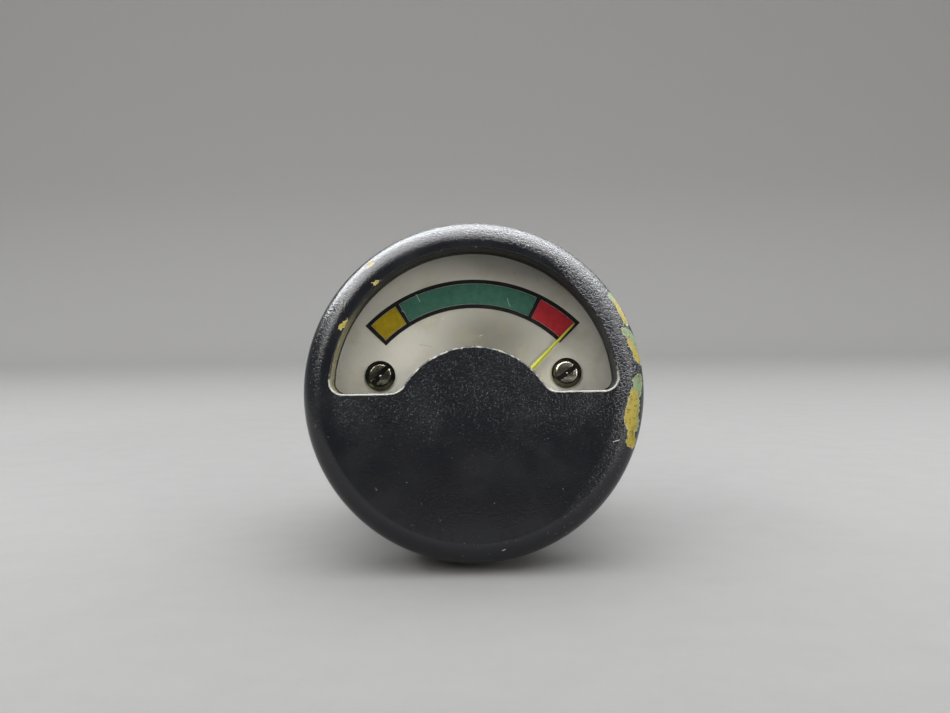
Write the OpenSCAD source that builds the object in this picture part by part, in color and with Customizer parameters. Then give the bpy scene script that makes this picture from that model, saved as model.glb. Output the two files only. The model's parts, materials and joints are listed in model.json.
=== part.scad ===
// Round panel temperature gauge: a sealed case with a sector window and a moving-coil movement.
// Every piece is drawn looking at the dial, x to the right, y up and z towards the viewer.
// z = 0 is the panel that the gauge seats on, and x = y = 0 is the case axis.
// stand() then turns the piece so that the dial faces -Y and +Z is up.

/* [Cover] */
// How far the front cover overhangs the barrel, all round
overhang = 3.175; // [2.9:0.025:4]
// Thickness of the cover's skirt
cover_wall = 1; // [0.8:0.1:1.2]
// Thickness of the cover's face round the window
face_t = 3; // [2:0.1:4]
// Radius of the rounded front edge
edge_r = 2.4; // [1:0.1:2.6]
// Thickness of the lip that is rolled behind the case flange
lip_t = 0.6; // [0.4:0.1:1]
// How far the rolled lip reaches in from the skirt
lip_reach = 0.8; // [0.4:0.1:1]

/* [Window] */
// Width of the cover's face between the window's arc and the outside
rim_w = 3.2; // [2.9:0.05:4]
// Height of the window's sill above the case axis
sill_y = -0.2; // [-0.8:0.1:0.8]
// Radius of the hump that hides the movement's front bearing
hump_r = 9.2; // [8.9:0.1:9.6]
// Radius of the hollow corner at each foot of the hump
foot_r = 2; // [1:0.1:2.2]
// Radius of the window's two outer corners
corner_r = 1.4; // [0.8:0.1:2]

/* [Glass] */
// Thickness of the window glass
glass_t = 1.5; // [1:0.1:2.5]
// Thickness of the rubber gasket in front of the glass
gasket_t = 0.4; // [0.3:0.1:0.8]
// Width of the window gasket
gasket_w = 1.8; // [1.4:0.1:2]
// Thickness of the spring ring that holds the glass
ring_t = 0.5; // [0.4:0.05:0.7]
// Width of the spring ring
ring_w = 1.1; // [0.9:0.1:1.4]
// Depth of the groove that the spring ring snaps into
ring_groove = 0.3; // [0.2:0.05:0.4]
// Gap between the ends of the spring ring
ring_mouth = 5; // [3:0.5:8]

/* [Case] */
// Smallest gap between the yoke ring and the barrel
yoke_gap = 0.525; // [0.4:0.025:1]
// Wall thickness of the barrel
barrel_wall = 1; // [0.8:0.1:1.3]
// Space for the wires between the movement and the terminal studs
rear_space = 6.15; // [5:0.05:10]
// Thickness of the flange between barrel and cup
flange_t = 1.4; // [1.2:0.1:2]
// Wall thickness of the cup rim inside the cover
cup_wall = 1.2; // [1:0.1:1.3]
// Section diameter of the seal between cup and cover
seal_d = 0.8; // [0.6:0.05:0.9]
// Thickness of the lip rolled over the rear cover
rear_lip_t = 0.5; // [0.4:0.1:0.8]
// How far that lip reaches in
rear_lip_reach = 0.8; // [0.5:0.1:1]
// Depth of the rear counterbore in the barrel's wall
rear_seat = 0.45; // [0.35:0.05:0.55]

/* [Rear] */
// Thickness of the rear cover's rim
rear_t = 2.7; // [2:0.1:4]
// Thickness of the rear gasket
rear_gasket_t = 0.4; // [0.3:0.1:0.8]
// Width of the rear cover's face round the island that carries the terminals
island_gap = 2.525; // [1.5:0.025:3]
// Height of the island over the rim of the rear cover
island_h = 1.5; // [1:0.1:2.5]
// Thickness of the barrier between the terminals
barrier_t = 1.6; // [1:0.1:2.4]
// Height of the barrier over the island
barrier_h = 3; // [1.5:0.1:5]
// Distance between the two terminal studs
stud_pitch = 13; // [12:0.5:14]
// Diameter of the terminal studs
stud_d = 3.5; // [3:0.1:4]
// Length of stud left free behind the outer nuts
stud_free = 5; // [3:0.5:9]
// Chamfer on the free end of a stud
stud_chamfer = 0.4; // [0.2:0.1:0.6]
// Width of the groove turned in a stud just outside its outer nut
stud_groove_w = 0.8; // [0.7:0.1:1]
// Depth of that groove
stud_groove = 0.2; // [0.1:0.05:0.3]
// Width across the flats of the terminal nuts
nut_af = 6.35; // [6:0.05:7]
// Thickness of a terminal nut
nut_h = 2.4; // [1.8:0.1:3]
// Outer diameter of the flat washers
washer_d = 7.6; // [7:0.1:8.2]
// Thickness of the flat washers
washer_t = 0.6; // [0.4:0.1:1]
// Thickness of the split lock washers
lock_t = 0.8; // [0.6:0.1:1.2]
// Outer diameter of the split lock washers
lock_d = 6.4; // [6:0.1:7]
// Height of the hexagon head on the inner end of a stud
stud_head_h = 1.5; // [1:0.1:2]
// Thickness of the solder lugs
lug_t = 0.4; // [0.3:0.1:0.6]
// Length of a solder lug's tail, from the stud's centre
lug_tail = 5.5; // [5:0.1:6]
// Width of a solder lug's tail
lug_w = 1.6; // [1.2:0.1:2.4]

/* [Dial] */
// Thickness of the dial plate
dial_t = 0.4; // [0.3:0.05:0.6]
// Gap between dial and case cup, all round
dial_margin = 0.3; // [0.2:0.05:0.6]
// Space between the glass and what stands nearest to it
glass_clear = 0.3; // [0.2:0.05:0.6]
// Height of the dial's straight lower edge above the case axis
dial_foot_y = -2; // [-2.2:0.05:-1.6]
// Radius of the notch that the pointer comes up through
notch_r = 6.6; // [6.4:0.1:7.2]
// Half of the angle that the coloured band covers
band_half_deg = 45.6; // [40:0.1:48]
// Space between the band's top and the window's arc
band_margin = 2.7; // [2:0.05:4]
// Width of the band with its black outline
band_w = 3.35; // [2.4:0.05:4]
// Width of the black outline
line_w = 0.46; // [0.3:0.02:0.6]
// Bare dial left between a colour field and the black outline
print_gap = 0.07; // [0.02:0.01:0.12]
// Angle of the line between yellow and green, from the top
cold_deg = -31; // [-36:0.5:-20]
// Angle of the line between green and red, from the top
hot_deg = 27.2; // [20:0.1:36]
// Thickness of the printed band
ink_t = 0.05; // [0.03:0.01:0.1]
// Distance of the dial screws from the dial's round edge
dial_screw_margin = 5.5; // [5:0.1:6]
// Direction of each dial screw from the case axis, above the horizontal
dial_screw_deg = 10.75; // [8:0.25:14]
// Diameter of the dial screw heads
dial_head_d = 3.5; // [3:0.1:3.8]
// Height of the dial screw heads
dial_head_h = 0.9; // [0.6:0.1:1.1]
// Rise of the dome on the head of a dial screw
dial_head_dome = 0.35; // [0.25:0.05:0.5]
// Depth of the slot in the head of a dial screw
dial_slot_depth = 0.5; // [0.4:0.05:0.6]
// Gap between dial and chassis plate, filled by the spacers
dial_gap = 0.5; // [0.4:0.05:0.8]

/* [Movement] */
// Distance of the pivot below the case axis
pivot_drop = 4.35; // [4.2:0.05:4.5]
// Angle of the pointer at rest, clockwise from the top
rest_deg = 44.3; // [-45:0.1:45]
// Angle of the pointer at each stop, from the top
stop_deg = 50; // [46:0.5:52]
// Thickness of the chassis plate
chassis_t = 1.2; // [1.1:0.1:1.6]
// Gap between chassis plate and case cup, all round
chassis_margin = 0.1; // [0.05:0.05:0.3]
// Gap between the balance arms and the hole in the chassis plate
balance_gap = 1; // [0.6:0.1:1.4]
// Inner radius of the soft iron yoke ring
yoke_r_in = 6.2; // [5.8:0.05:6.8]
// Wall thickness of the yoke ring
yoke_wall = 3.8; // [3.4:0.1:4.4]
// Length of the yoke ring
yoke_len = 9; // [7:0.1:10]
// Length of the posts between chassis plate and yoke
post_len = 3; // [2.8:0.1:4]
// Radius of the posts
post_r = 1.1; // [0.9:0.05:1.15]
// Angle between a brass block and the coil when the pointer is at its stop
block_clear_deg = 4.4; // [2:0.1:12]
// How much shorter than the core the blocks are, at each end
block_inset = 0.5; // [0.2:0.1:1]
// Length of the posts between yoke and rear bridge
rear_post_len = 4.4; // [4.2:0.1:5.4]
// Thickness of both bridges
bridge_t = 0.8; // [0.6:0.05:0.85]
// Width of both bridges
bridge_w = 4; // [3:0.1:4.2]
// Height of the front bridge's back over the dial
bridge_lift = 0.3; // [0.2:0.05:0.35]
// Radius of the bridges' boss round the jewel screw
boss_r = 1.3; // [1.2:0.05:1.5]
// Height of the bridges' boss
boss_h = 0.3; // [0.25:0.05:0.35]
// Radius of the jewel screws
jewel_screw_r = 0.8; // [0.7:0.05:0.9]
// How far a jewel screw reaches past its bridge towards the coil
jewel_reach = 0.4; // [0.38:0.02:0.5]
// How far a jewel screw stands out of its bridge on the outer side
jewel_out = 0.55; // [0.5:0.05:0.6]
// Radius of the sapphire jewels
jewel_r = 0.5; // [0.4:0.05:0.55]
// Thickness of the jewels
jewel_t = 0.45; // [0.4:0.05:0.6]
// Width across the flats of the jewel screws' lock nuts
locknut_af = 2.6; // [2.2:0.1:3]
// Height of the lock nuts
locknut_h = 0.4; // [0.3:0.05:0.45]

/* [Coil] */
// Gap between the coil former and the core magnet
coil_gap = 0.35; // [0.3:0.01:0.45]
// Gap between the coil's corners and the yoke ring
yoke_clear = 0.185; // [0.1:0.005:0.4]
// Gap between the coil's ends and the core's ends
coil_end_gap = 0.6; // [0.5:0.05:0.8]
// Wall thickness of the coil former
former_t = 0.2; // [0.15:0.01:0.3]
// Thickness of the copper winding
winding_t = 0.8; // [0.5:0.02:0.84]
// Width of the coil former
coil_w = 2.8; // [2:0.1:3]
// Height of the former's cheeks that keep the winding in
cheek_t = 0.15; // [0.1:0.01:0.25]
// Radius of the stem on each end of the coil
stem_r = 0.9; // [0.7:0.05:1]
// Length of the foot that is cemented across each end of the coil
foot_len = 3.2; // [2.4:0.1:4]
// Thickness of that foot
foot_t = 0.3; // [0.2:0.05:0.5]
// Height of the hub rings of pointer and balance arms
hub_h = 0.3; // [0.25:0.05:0.4]
// Width of the hub rings
hub_w = 0.6; // [0.4:0.05:0.8]
// Gap between the pointer's hub and the collet
hub_gap = 0.15; // [0.1:0.05:0.2]
// Radius of the collet that the hairspring is pinned to
collet_r = 0.75; // [0.6:0.05:0.85]
// Length of the collet
collet_len = 0.45; // [0.4:0.05:0.5]
// Gap between a collet and its jewel screw
collet_gap = 0.15; // [0.1:0.01:0.2]
// Radius of the steel pivots
pivot_r = 0.25; // [0.2:0.01:0.3]
// Radius of a pivot's tip
tip_r = 0.03; // [0.02:0.01:0.06]
// Length of a pivot's cone
tip_len = 0.3; // [0.2:0.05:0.5]
// How far a pivot's tip reaches into its jewel
tip_in_jewel = 0.19; // [0.1:0.01:0.2]
// Radius of the hairsprings' outer turn
spring_r = 3; // [2.6:0.1:3.1]
// Turns of each hairspring
spring_turns = 4; // [3:1:5]
// Thickness of the hairspring strip
spring_t = 0.08; // [0.06:0.01:0.1]
// Width of the hairspring strip
spring_w = 0.35; // [0.25:0.05:0.4]

/* [Pointer] */
// How far the pointer's tip stays inside the band's outer edge
pointer_short = 0.6; // [0.2:0.1:2]
// Height of the pointer's blade over the dial
pointer_lift = 0.9; // [0.7:0.05:1]
// Thickness of the pointer
pointer_t = 0.2; // [0.15:0.01:0.3]
// Width of the pointer near the pivot
pointer_w = 0.7; // [0.5:0.05:0.8]
// Width of the pointer at its tip
pointer_tip_w = 0.26; // [0.2:0.01:0.4]
// Gap between the pointer's cranked part and the dial's notch
crank_gap = 0.6; // [0.4:0.05:1]
// Length over which the pointer rises to the front of the dial
crank_len = 2.2; // [1.8:0.05:2.4]
// Length of the balance arms
balance_len = 5.4; // [5:0.1:5.6]
// Radius of the balance arms
balance_arm_r = 0.15; // [0.1:0.01:0.2]
// Radius of the balance weights
weight_r = 0.6; // [0.4:0.02:0.64]
// Length of the tail's balance weight
tail_weight_len = 0.85; // [0.5:0.01:1.75]
// Distance of the tail's balance weight from the pivot
tail_weight_at = 3.6; // [3.5:0.01:3.7]
// Length of each side balance weight
side_weight_len = 0.8; // [0.4:0.02:1.2]
// Distance of the side balance weights from the pivot
side_weight_at = 3.9; // [3.5:0.02:4.1]
// Radius of the pointer stop pins
stop_r = 0.3; // [0.2:0.05:0.4]
// Distance of the stop pins from the pivot
stop_at_r = 8.6; // [8:0.1:8.7]

/* [Zero corrector] */
// Thickness of the zero corrector
corrector_t = 0.24; // [0.2:0.01:0.28]
// Width of the corrector's ring
corrector_ring_w = 0.65; // [0.5:0.05:0.8]
// Length of the corrector's forked tail, from the pivot
corrector_tail = 4.8; // [4:0.1:5.2]
// Width of the corrector's arms
corrector_w = 0.9; // [0.8:0.05:1.2]
// Direction of the corrector's spring leg, from three o'clock
corrector_leg_deg = 210; // [200:1:225]

/* [Resistor] */
// Gap between the resistor spool and the barrel
spool_gap = 2.075; // [1:0.025:2.3]
// Radius of the spool's flanges
spool_r = 2.6; // [2.2:0.1:2.9]
// Radius of the spool's core
spool_core_r = 1.3; // [1.1:0.1:1.5]
// Length of the spool
spool_len = 8.5; // [6:0.1:9]
// Thickness of the spool's flanges
spool_flange_t = 0.6; // [0.4:0.1:0.9]
// How far the wire stays below the flanges
spool_fill = 0.3; // [0.2:0.05:0.6]
// Radius of the lead wires
wire_r = 0.3; // [0.2:0.02:0.34]

/* [Screws and fits] */
// Radius of the small screws' threads
screw_r = 0.6; // [0.5:0.05:0.65]
// Radius of the small screws' heads
head_r = 1.1; // [0.9:0.05:1.2]
// Height of the small screws' heads
head_h = 0.55; // [0.4:0.05:0.6]
// Width of a screw's slot
slot_w = 0.3; // [0.2:0.05:0.4]
// Depth of a screw's slot
slot_depth = 0.25; // [0.15:0.05:0.3]
// Depth of thread in the yoke
thread_len = 3; // [2:0.1:3.4]
// Radius of the chassis screws' threads
chassis_screw_r = 0.5; // [0.4:0.05:0.55]
// Radius of the chassis screws' heads
chassis_head_r = 0.85; // [0.7:0.05:0.9]
// Gap between the chassis screws' heads and the cup
chassis_head_gap = 0.15; // [0.1:0.05:0.2]
// Gap round a thread in its hole
thread_gap = 0.02; // [0.01:0.01:0.05]
// Gap round a piece that drops into its seat
seat_gap = 0.05; // [0.02:0.01:0.1]
// Gap round a screw that passes through a plain hole
hole_gap = 0.1; // [0.05:0.05:0.2]
// Running gap of the zero corrector
run_gap = 0.04; // [0.02:0.01:0.06]
// Depth of the tapped holes in the chassis plate
tapped_depth = 1; // [0.8:0.1:1.1]

/* [Hidden] */
$fn = 64;
eps = 0.01;
over = 1; // how far a cutting solid runs past what it cuts

// Radii of the coil, the core, the yoke and the posts in the yoke's wall
winding_out = sqrt(pow(yoke_r_in - yoke_clear, 2) - pow(coil_w / 2, 2));
former_out = winding_out - winding_t;
former_in = former_out - former_t;
core_r = former_in - coil_gap;
yoke_r_out = yoke_r_in + yoke_wall;
post_at_r = (yoke_r_in + yoke_r_out) / 2;
bridge_screw_r = post_at_r;
block_deg = 90 - stop_deg - atan(coil_w / 2 / former_in) - block_clear_deg;
block_w = 2 * core_r * sin(block_deg);
chassis_hole_r = balance_len + balance_gap;
crank_to = notch_r - crank_gap;
crank_from = crank_to - crank_len;

// Radii of the barrel, the cover, the glass and the cup
barrel_in_r = yoke_r_out + pivot_drop + yoke_gap;
barrel_r = barrel_in_r + barrel_wall;
cover_r = barrel_r + overhang;
cover_in_r = cover_r - cover_wall;
glass_r = cover_in_r - seat_gap;
cup_r = cover_in_r - seat_gap;
cup_in_r = cup_r - cup_wall;
lip_in_r = cover_in_r - lip_reach;

// The window, the band and the dial
window_r = cover_r - rim_w;
band_r_out = window_r + pivot_drop - band_margin;
band_r_in = band_r_out - band_w;
pointer_len = band_r_out - pointer_short;
dial_r = cup_in_r - dial_margin;
dial_screw_x = (dial_r - dial_screw_margin) * cos(dial_screw_deg);
dial_screw_y = (dial_r - dial_screw_margin) * sin(dial_screw_deg);

// Levels in front of the panel, from the back to the face
z_step = lip_t + flange_t;
z_chassis = z_step + chassis_t;
z_dial_back = z_chassis + dial_gap;
z_dial = z_dial_back + dial_t;
z_pointer = z_dial + pointer_lift;
z_bridge_back = z_dial + bridge_lift;
z_bridge = z_bridge_back + bridge_t;
z_glass_back = z_bridge + max(jewel_out, head_h, 2 * wire_r) + glass_clear;
z_glass = z_glass_back + glass_t;
z_face_back = z_glass + gasket_t;
z_face = z_face_back + face_t;
z_ring = z_glass_back - ring_t;
cup_ring_gap = 0.4;
z_cup = z_ring - cup_ring_gap;
z_seal = (z_step + z_cup) / 2;
seal_r = seal_d / 2;
seal_at_r = cover_in_r - seal_r - eps;
seal_groove_r = seal_at_r - seal_r - eps;

// Levels of the movement
z_front_end = z_bridge_back - jewel_reach;
z_yoke = z_step - post_len;
z_yoke_rear = z_yoke - yoke_len;
coil_end = coil_end_gap + former_t + winding_t;
z_coil = z_yoke + coil_end;
z_coil_rear = z_yoke_rear - coil_end;
z_rear_bridge = z_yoke_rear - rear_post_len;
z_rear_bridge_out = z_rear_bridge - bridge_t;
z_rear_end = z_rear_bridge + jewel_reach;
z_pointer_hub = z_front_end - collet_gap - collet_len - hub_gap - hub_h;
z_balance_hub = z_pointer_hub - hub_h;

// Levels of the rear
z_stud_head = z_rear_bridge_out - max(jewel_out, head_h) - rear_space;
z_lug = z_stud_head - stud_head_h;
z_rear_in = z_lug - lug_t;
z_rear_out = z_rear_in - rear_t;
z_rear_lip = z_rear_out - rear_lip_t;
z_rear_step = z_rear_in + rear_gasket_t;
rear_bore_r = barrel_in_r + rear_seat;
rear_r = rear_bore_r - seat_gap;
rear_lip_r = rear_bore_r - rear_lip_reach;
island_r = rear_lip_r - island_gap;
z_island = z_rear_out - island_h;
z_barrier = z_island - barrier_h;
z_washer = z_island - washer_t;
z_fixing = z_washer - nut_h;
z_lock = z_fixing - lock_t;
z_nut = z_lock - nut_h;
z_stud = z_nut - stud_free;
stud_r = stud_d / 2;
stud_x = stud_pitch / 2;
lug_r = stud_r + 1.2;

// Places of the screws that hold the movement
post_degs = [90, 210, 330];
chassis_screw_degs = [210, 270, 330];
chassis_screw_at_r = cup_in_r - chassis_head_r - chassis_head_gap;
chassis_thread_len = chassis_t + flange_t * 0.8;
counterbore = head_h + hole_gap;
stop_pin_deg = stop_deg + asin((stop_r + pointer_w / 2 + seat_gap) / stop_at_r);
stop_h = z_pointer + pointer_t - z_chassis;
bridge_spacer_r = 1.2;
spool_y = barrel_in_r - spool_r - spool_gap;

// Directions of the screws' slots
chassis_slot_deg = 30;
dial_slot_deg = [50, 35];
bridge_slot_deg = 20;
rear_slot_deg = 40;
spool_slot_deg = 75;

// Routes of the lead wires: lug to spool, spool to front bridge, lug to rear bridge
lead_hole = [12.3, -6];
lead_hole_r = 0.8;
spool_lead_x = 1.9;
lead_start_z = z_lug + wire_r;
bridge_end_x = bridge_screw_r + 1.55;
spool_end_z = z_step - spool_len;
lead_to_spool = [
  [-stud_x, lug_tail - 0.9, z_lug], [-stud_x, lug_tail - 0.9, z_lug + 1], [-6.4, 5.2, -20.5],
  [-6, 6.6, -18], [-5.2, 8, -15], [-4, 9.2, -12.5], [-2.8, 10, -10.5],
  [-spool_lead_x, spool_y, -8.5], [-spool_lead_x, spool_y, spool_end_z]
];
lead_to_front = [
  [spool_lead_x, spool_y, spool_end_z], [2.1, spool_y, -7.8], [3.2, spool_y, -8.8],
  [4.8, 10.2, -8.6], [6.4, 9.7, -7.2], [8.2, 8.6, -5], [10, 6.4, -3], [11.3, 3.4, -1.4],
  [12, 0, -0.5], [12.3, -3, 0], [12.4, -5.2, 0.8], [lead_hole[0], lead_hole[1], 2],
  [lead_hole[0], lead_hole[1], 3.4], [12.2, -5.9, 4.4], [11.7, -5.4, z_bridge - 0.1],
  [10.9, -4.8, z_bridge + wire_r], [bridge_end_x, -pivot_drop, z_bridge + wire_r]
];
lead_to_rear = [
  [stud_x, lug_tail - 0.9, z_lug], [stud_x, lug_tail - 0.9, z_lug + 1], [6.8, 4.2, -20.4],
  [7.6, 2.6, -19], [8.6, 0.4, -18], [9.5, -1.8, -17.2], [10.1, -3.4, -16.4],
  [bridge_end_x + 0.1, -pivot_drop, z_rear_bridge_out - wire_r],
  [bridge_end_x - 0.2, -pivot_drop - 0.3, z_rear_bridge_out - wire_r]
];

// Turns a piece drawn looking at the dial into the frame with the dial facing -Y
module stand() {
  rotate([90, 0, 0]) children();
}

module at_pivot() {
  translate([0, -pivot_drop, 0]) children();
}

// Everything that turns with the pointer is drawn with the pointer at twelve o'clock
module turning() {
  at_pivot() rotate([0, 0, -rest_deg]) children();
}

module rod(r, z0, z1) {
  translate([0, 0, min(z0, z1)]) cylinder(r = r, h = abs(z1 - z0));
}

module ring(r_out, r_in, z0, z1) {
  difference() {
    rod(r_out, z0, z1);
    rod(r_in, min(z0, z1) - over, max(z0, z1) + over);
  }
}

module both_sides() {
  for (side = [-1, 1]) scale_side(side) children();
}

module scale_side(side) {
  if (side > 0) children();
  else mirror([1, 0, 0]) children();
}

module at_dial_screws() {
  both_sides() translate([dial_screw_x, dial_screw_y, 0]) children();
}

module at_posts() {
  at_pivot() for (a = post_degs) rotate([0, 0, a]) translate([post_at_r, 0, 0]) children();
}

module at_bridge_ends() {
  at_pivot() both_sides() translate([bridge_screw_r, 0, 0]) children();
}

module at_chassis_screws() {
  for (a = chassis_screw_degs) rotate([0, 0, a]) translate([chassis_screw_at_r, 0, 0]) children();
}

module at_studs() {
  both_sides() translate([stud_x, 0, 0]) children();
}

// A slotted screw whose head seats on z = 0 and whose thread runs down to -len
module slotted_screw(r, len, r_head, h_head, turn = 0, slot = slot_w) {
  bevel = h_head * 0.3;
  difference() {
    union() {
      rod(r, -len, eps);
      rod(r_head, 0, h_head - bevel);
      translate([0, 0, h_head - bevel]) cylinder(r1 = r_head, r2 = r_head - bevel, h = bevel);
    }
    rotate([0, 0, turn])
      translate([-r_head - over, -slot / 2, h_head - slot_depth])
        cube([2 * (r_head + over), slot, slot_depth + over]);
  }
}

// A hexagon nut between z0 and z0 + h with bevelled corners
module hex_nut(af, h, bore_r, z0) {
  corner = af / 2 / cos(30);
  bevel = (corner - af / 2) * 0.8;
  translate([0, 0, z0]) intersection() {
    cylinder(r = corner, h = h, $fn = 6);
    rotate_extrude() polygon([
      [bore_r, 0], [corner - bevel, 0], [corner, bevel],
      [corner, h - bevel], [corner - bevel, h], [bore_r, h]
    ]);
  }
}

// The window's outline, grown by g all round
module window_2d(g = 0) {
  foot_x = sqrt(pow(hump_r + foot_r, 2) - pow(sill_y + foot_r + pivot_drop, 2));
  corner_x = sqrt(pow(window_r - corner_r, 2) - pow(sill_y + corner_r, 2));
  reach = window_r + over + g;
  foot = [foot_x, sill_y + foot_r];
  corner = [corner_x, sill_y + corner_r];
  beyond = corner * reach / norm(corner);
  difference() {
    intersection() {
      circle(window_r + g);
      translate([-reach, sill_y - g]) square([2 * reach, reach]);
    }
    translate([0, -pivot_drop]) circle(hump_r - g);
    both_sides() {
      difference() {
        polygon([[0, -pivot_drop], [foot[0], -pivot_drop], foot]);
        translate(foot) circle(foot_r + g);
      }
      difference() {
        polygon([corner, [corner[0], sill_y - over], [reach, sill_y - over], [reach, beyond[1]], beyond]);
        translate(corner) circle(corner_r + g);
      }
    }
  }
}

module cover_profile() {
  difference() {
    square([cover_r, z_face]);
    translate([cover_r - edge_r, z_face - edge_r]) difference() {
      square(edge_r + over);
      circle(edge_r);
    }
    translate([-over, -over]) square([lip_in_r + over, lip_t + 2 * over]);
    translate([-over, lip_t]) square([cover_in_r + over, z_face_back - lip_t]);
    translate([cover_in_r - over, z_ring - seat_gap])
      square([ring_groove + over, ring_t + seat_gap]);
  }
}

module front_cover() {
  color([0.09, 0.09, 0.1]) difference() {
    rotate_extrude() cover_profile();
    translate([0, 0, z_face_back - over]) linear_extrude(face_t + 2 * over) window_2d();
  }
}

module window_gasket() {
  color([0.05, 0.05, 0.05]) ring(glass_r, glass_r - gasket_w, z_glass, z_face_back);
}

module window_glass() {
  color([0.8, 0.85, 0.85, 0.3]) rod(glass_r, z_glass_back, z_glass);
}

// A flat spring ring with its mouth at six o'clock
module glass_ring() {
  r = cover_in_r + ring_groove - seat_gap;
  color([0.35, 0.35, 0.37]) difference() {
    ring(r, r - ring_w, z_ring, z_glass_back);
    translate([-ring_mouth / 2, -r - over, z_ring - over])
      cube([ring_mouth, ring_w + 2 * over, ring_t + 2 * over]);
  }
}

module case_profile() {
  difference() {
    union() {
      translate([0, z_rear_lip]) square([barrel_r, z_step - z_rear_lip]);
      translate([0, lip_t]) square([cup_r, z_cup - lip_t]);
    }
    translate([-over, z_rear_step - eps]) square([barrel_in_r + over, z_step - z_rear_step + 2 * eps]);
    translate([-over, z_step]) square([cup_in_r + over, z_cup - z_step + over]);
    translate([-over, z_rear_out]) square([rear_bore_r + over, z_rear_step - z_rear_out]);
    translate([-over, z_rear_lip - over])
      square([rear_lip_r + over, z_rear_out - z_rear_lip + 2 * over]);
    translate([seal_groove_r, z_seal - seal_r - seat_gap])
      square([seal_d + over, seal_d + 2 * seat_gap]);
  }
}

module case_body() {
  color([0.12, 0.12, 0.13]) difference() {
    rotate_extrude() case_profile();
    at_chassis_screws() rod(chassis_screw_r + thread_gap, z_chassis - chassis_thread_len, z_step + over);
  }
}

module cover_seal() {
  color([0.04, 0.04, 0.04]) translate([0, 0, z_seal])
    rotate_extrude() translate([seal_at_r, 0]) circle(seal_r);
}

module rear_gasket() {
  color([0.04, 0.04, 0.04]) ring(rear_r, barrel_in_r + 0.05, z_rear_in, z_rear_step);
}

module rear_cover() {
  color([0.2, 0.11, 0.07]) difference() {
    union() {
      rod(rear_r, z_rear_in, z_rear_out);
      rod(island_r, z_rear_out + eps, z_island);
      intersection() {
        translate([-barrier_t / 2, -island_r, z_barrier]) cube([barrier_t, 2 * island_r, barrier_h + over]);
        rod(island_r, z_barrier, z_island + over);
      }
    }
    at_studs() rod(stud_r + thread_gap, z_island - over, z_rear_in + over);
  }
}

module terminal_studs() {
  color([0.75, 0.6, 0.3]) at_studs() {
    difference() {
      rod(stud_r, z_stud + stud_chamfer, z_lug + eps);
      ring(stud_r + over, stud_r - stud_groove, z_nut, z_nut - stud_groove_w);
    }
    translate([0, 0, z_stud]) cylinder(r1 = stud_r - stud_chamfer, r2 = stud_r, h = stud_chamfer);
    translate([0, 0, z_lug]) cylinder(r = nut_af / 2 / cos(30), h = stud_head_h, $fn = 6);
  }
}

module solder_lugs() {
  color([0.8, 0.8, 0.78]) at_studs() translate([0, 0, z_rear_in]) linear_extrude(lug_t) difference() {
    union() {
      circle(lug_r);
      translate([-lug_w / 2, 0]) square([lug_w, lug_tail]);
    }
    circle(stud_r + thread_gap);
  }
}

module terminal_washers() {
  color([0.72, 0.72, 0.7]) at_studs() ring(washer_d / 2, stud_r + thread_gap, z_island, z_washer);
}

module fixing_nuts() {
  color([0.75, 0.6, 0.3]) at_studs() hex_nut(nut_af, nut_h, stud_r + thread_gap, z_fixing);
}

module lock_washers() {
  split = 0.5;
  color([0.5, 0.5, 0.5]) at_studs() difference() {
    ring(lock_d / 2, stud_r + thread_gap, z_fixing, z_lock);
    rotate([0, 0, 60]) translate([0, -split / 2, z_lock - over]) cube([lock_d, split, lock_t + 2 * over]);
  }
}

module terminal_nuts() {
  color([0.75, 0.6, 0.3]) at_studs() hex_nut(nut_af, nut_h, stud_r + thread_gap, z_nut);
}

module chassis_plate() {
  color([0.75, 0.62, 0.35]) difference() {
    rod(cup_in_r - chassis_margin, z_step, z_chassis);
    at_pivot() rod(chassis_hole_r, z_step - over, z_chassis + over);
    at_posts() {
      rod(screw_r + hole_gap, z_step - over, z_chassis + over);
      rod(head_r + hole_gap, z_chassis - counterbore, z_chassis + over);
    }
    translate([0, spool_y, 0]) {
      rod(screw_r + hole_gap, z_step - over, z_chassis + over);
      rod(head_r + hole_gap, z_chassis - counterbore, z_chassis + over);
    }
    at_dial_screws() rod(screw_r + thread_gap, z_step - over, z_chassis + over);
    at_bridge_ends() rod(screw_r + thread_gap, z_step - over, z_chassis + over);
    at_chassis_screws() rod(chassis_screw_r + hole_gap, z_step - over, z_chassis + over);
    at_stops() rod(stop_r, z_step - over, z_chassis + over);
    translate([lead_hole[0], lead_hole[1], 0]) rod(lead_hole_r, z_step - over, z_chassis + over);
  }
}

module chassis_screws() {
  color([0.7, 0.7, 0.68]) at_chassis_screws() translate([0, 0, z_chassis])
    slotted_screw(chassis_screw_r, chassis_thread_len - seat_gap, chassis_head_r, head_h, chassis_slot_deg);
}

module at_stops() {
  at_pivot() both_sides() rotate([0, 0, 90 - stop_pin_deg]) translate([stop_at_r, 0, 0]) children();
}

module pointer_stops() {
  color([0.7, 0.7, 0.7]) at_stops() rod(stop_r, z_step, z_chassis + stop_h);
}

module dial_plate() {
  color([0.72, 0.7, 0.66]) translate([0, 0, z_dial_back]) linear_extrude(dial_t) difference() {
    intersection() {
      circle(dial_r);
      translate([-dial_r, dial_foot_y]) square([2 * dial_r, 2 * dial_r]);
    }
    translate([0, -pivot_drop]) circle(notch_r);
    at_dial_screws() circle(screw_r + hole_gap);
    at_stops() circle(stop_r + hole_gap);
  }
}

// The part of a ring round the pivot between two angles from the top, clockwise positive
module band_2d(r_in, r_out, from_deg, to_deg) {
  far = r_out * 2;
  translate([0, -pivot_drop]) intersection() {
    difference() {
      circle(r_out);
      circle(r_in);
    }
    polygon([[0, 0], for (a = [from_deg, (from_deg + to_deg) / 2, to_deg]) far * [sin(a), cos(a)]]);
  }
}

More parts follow.
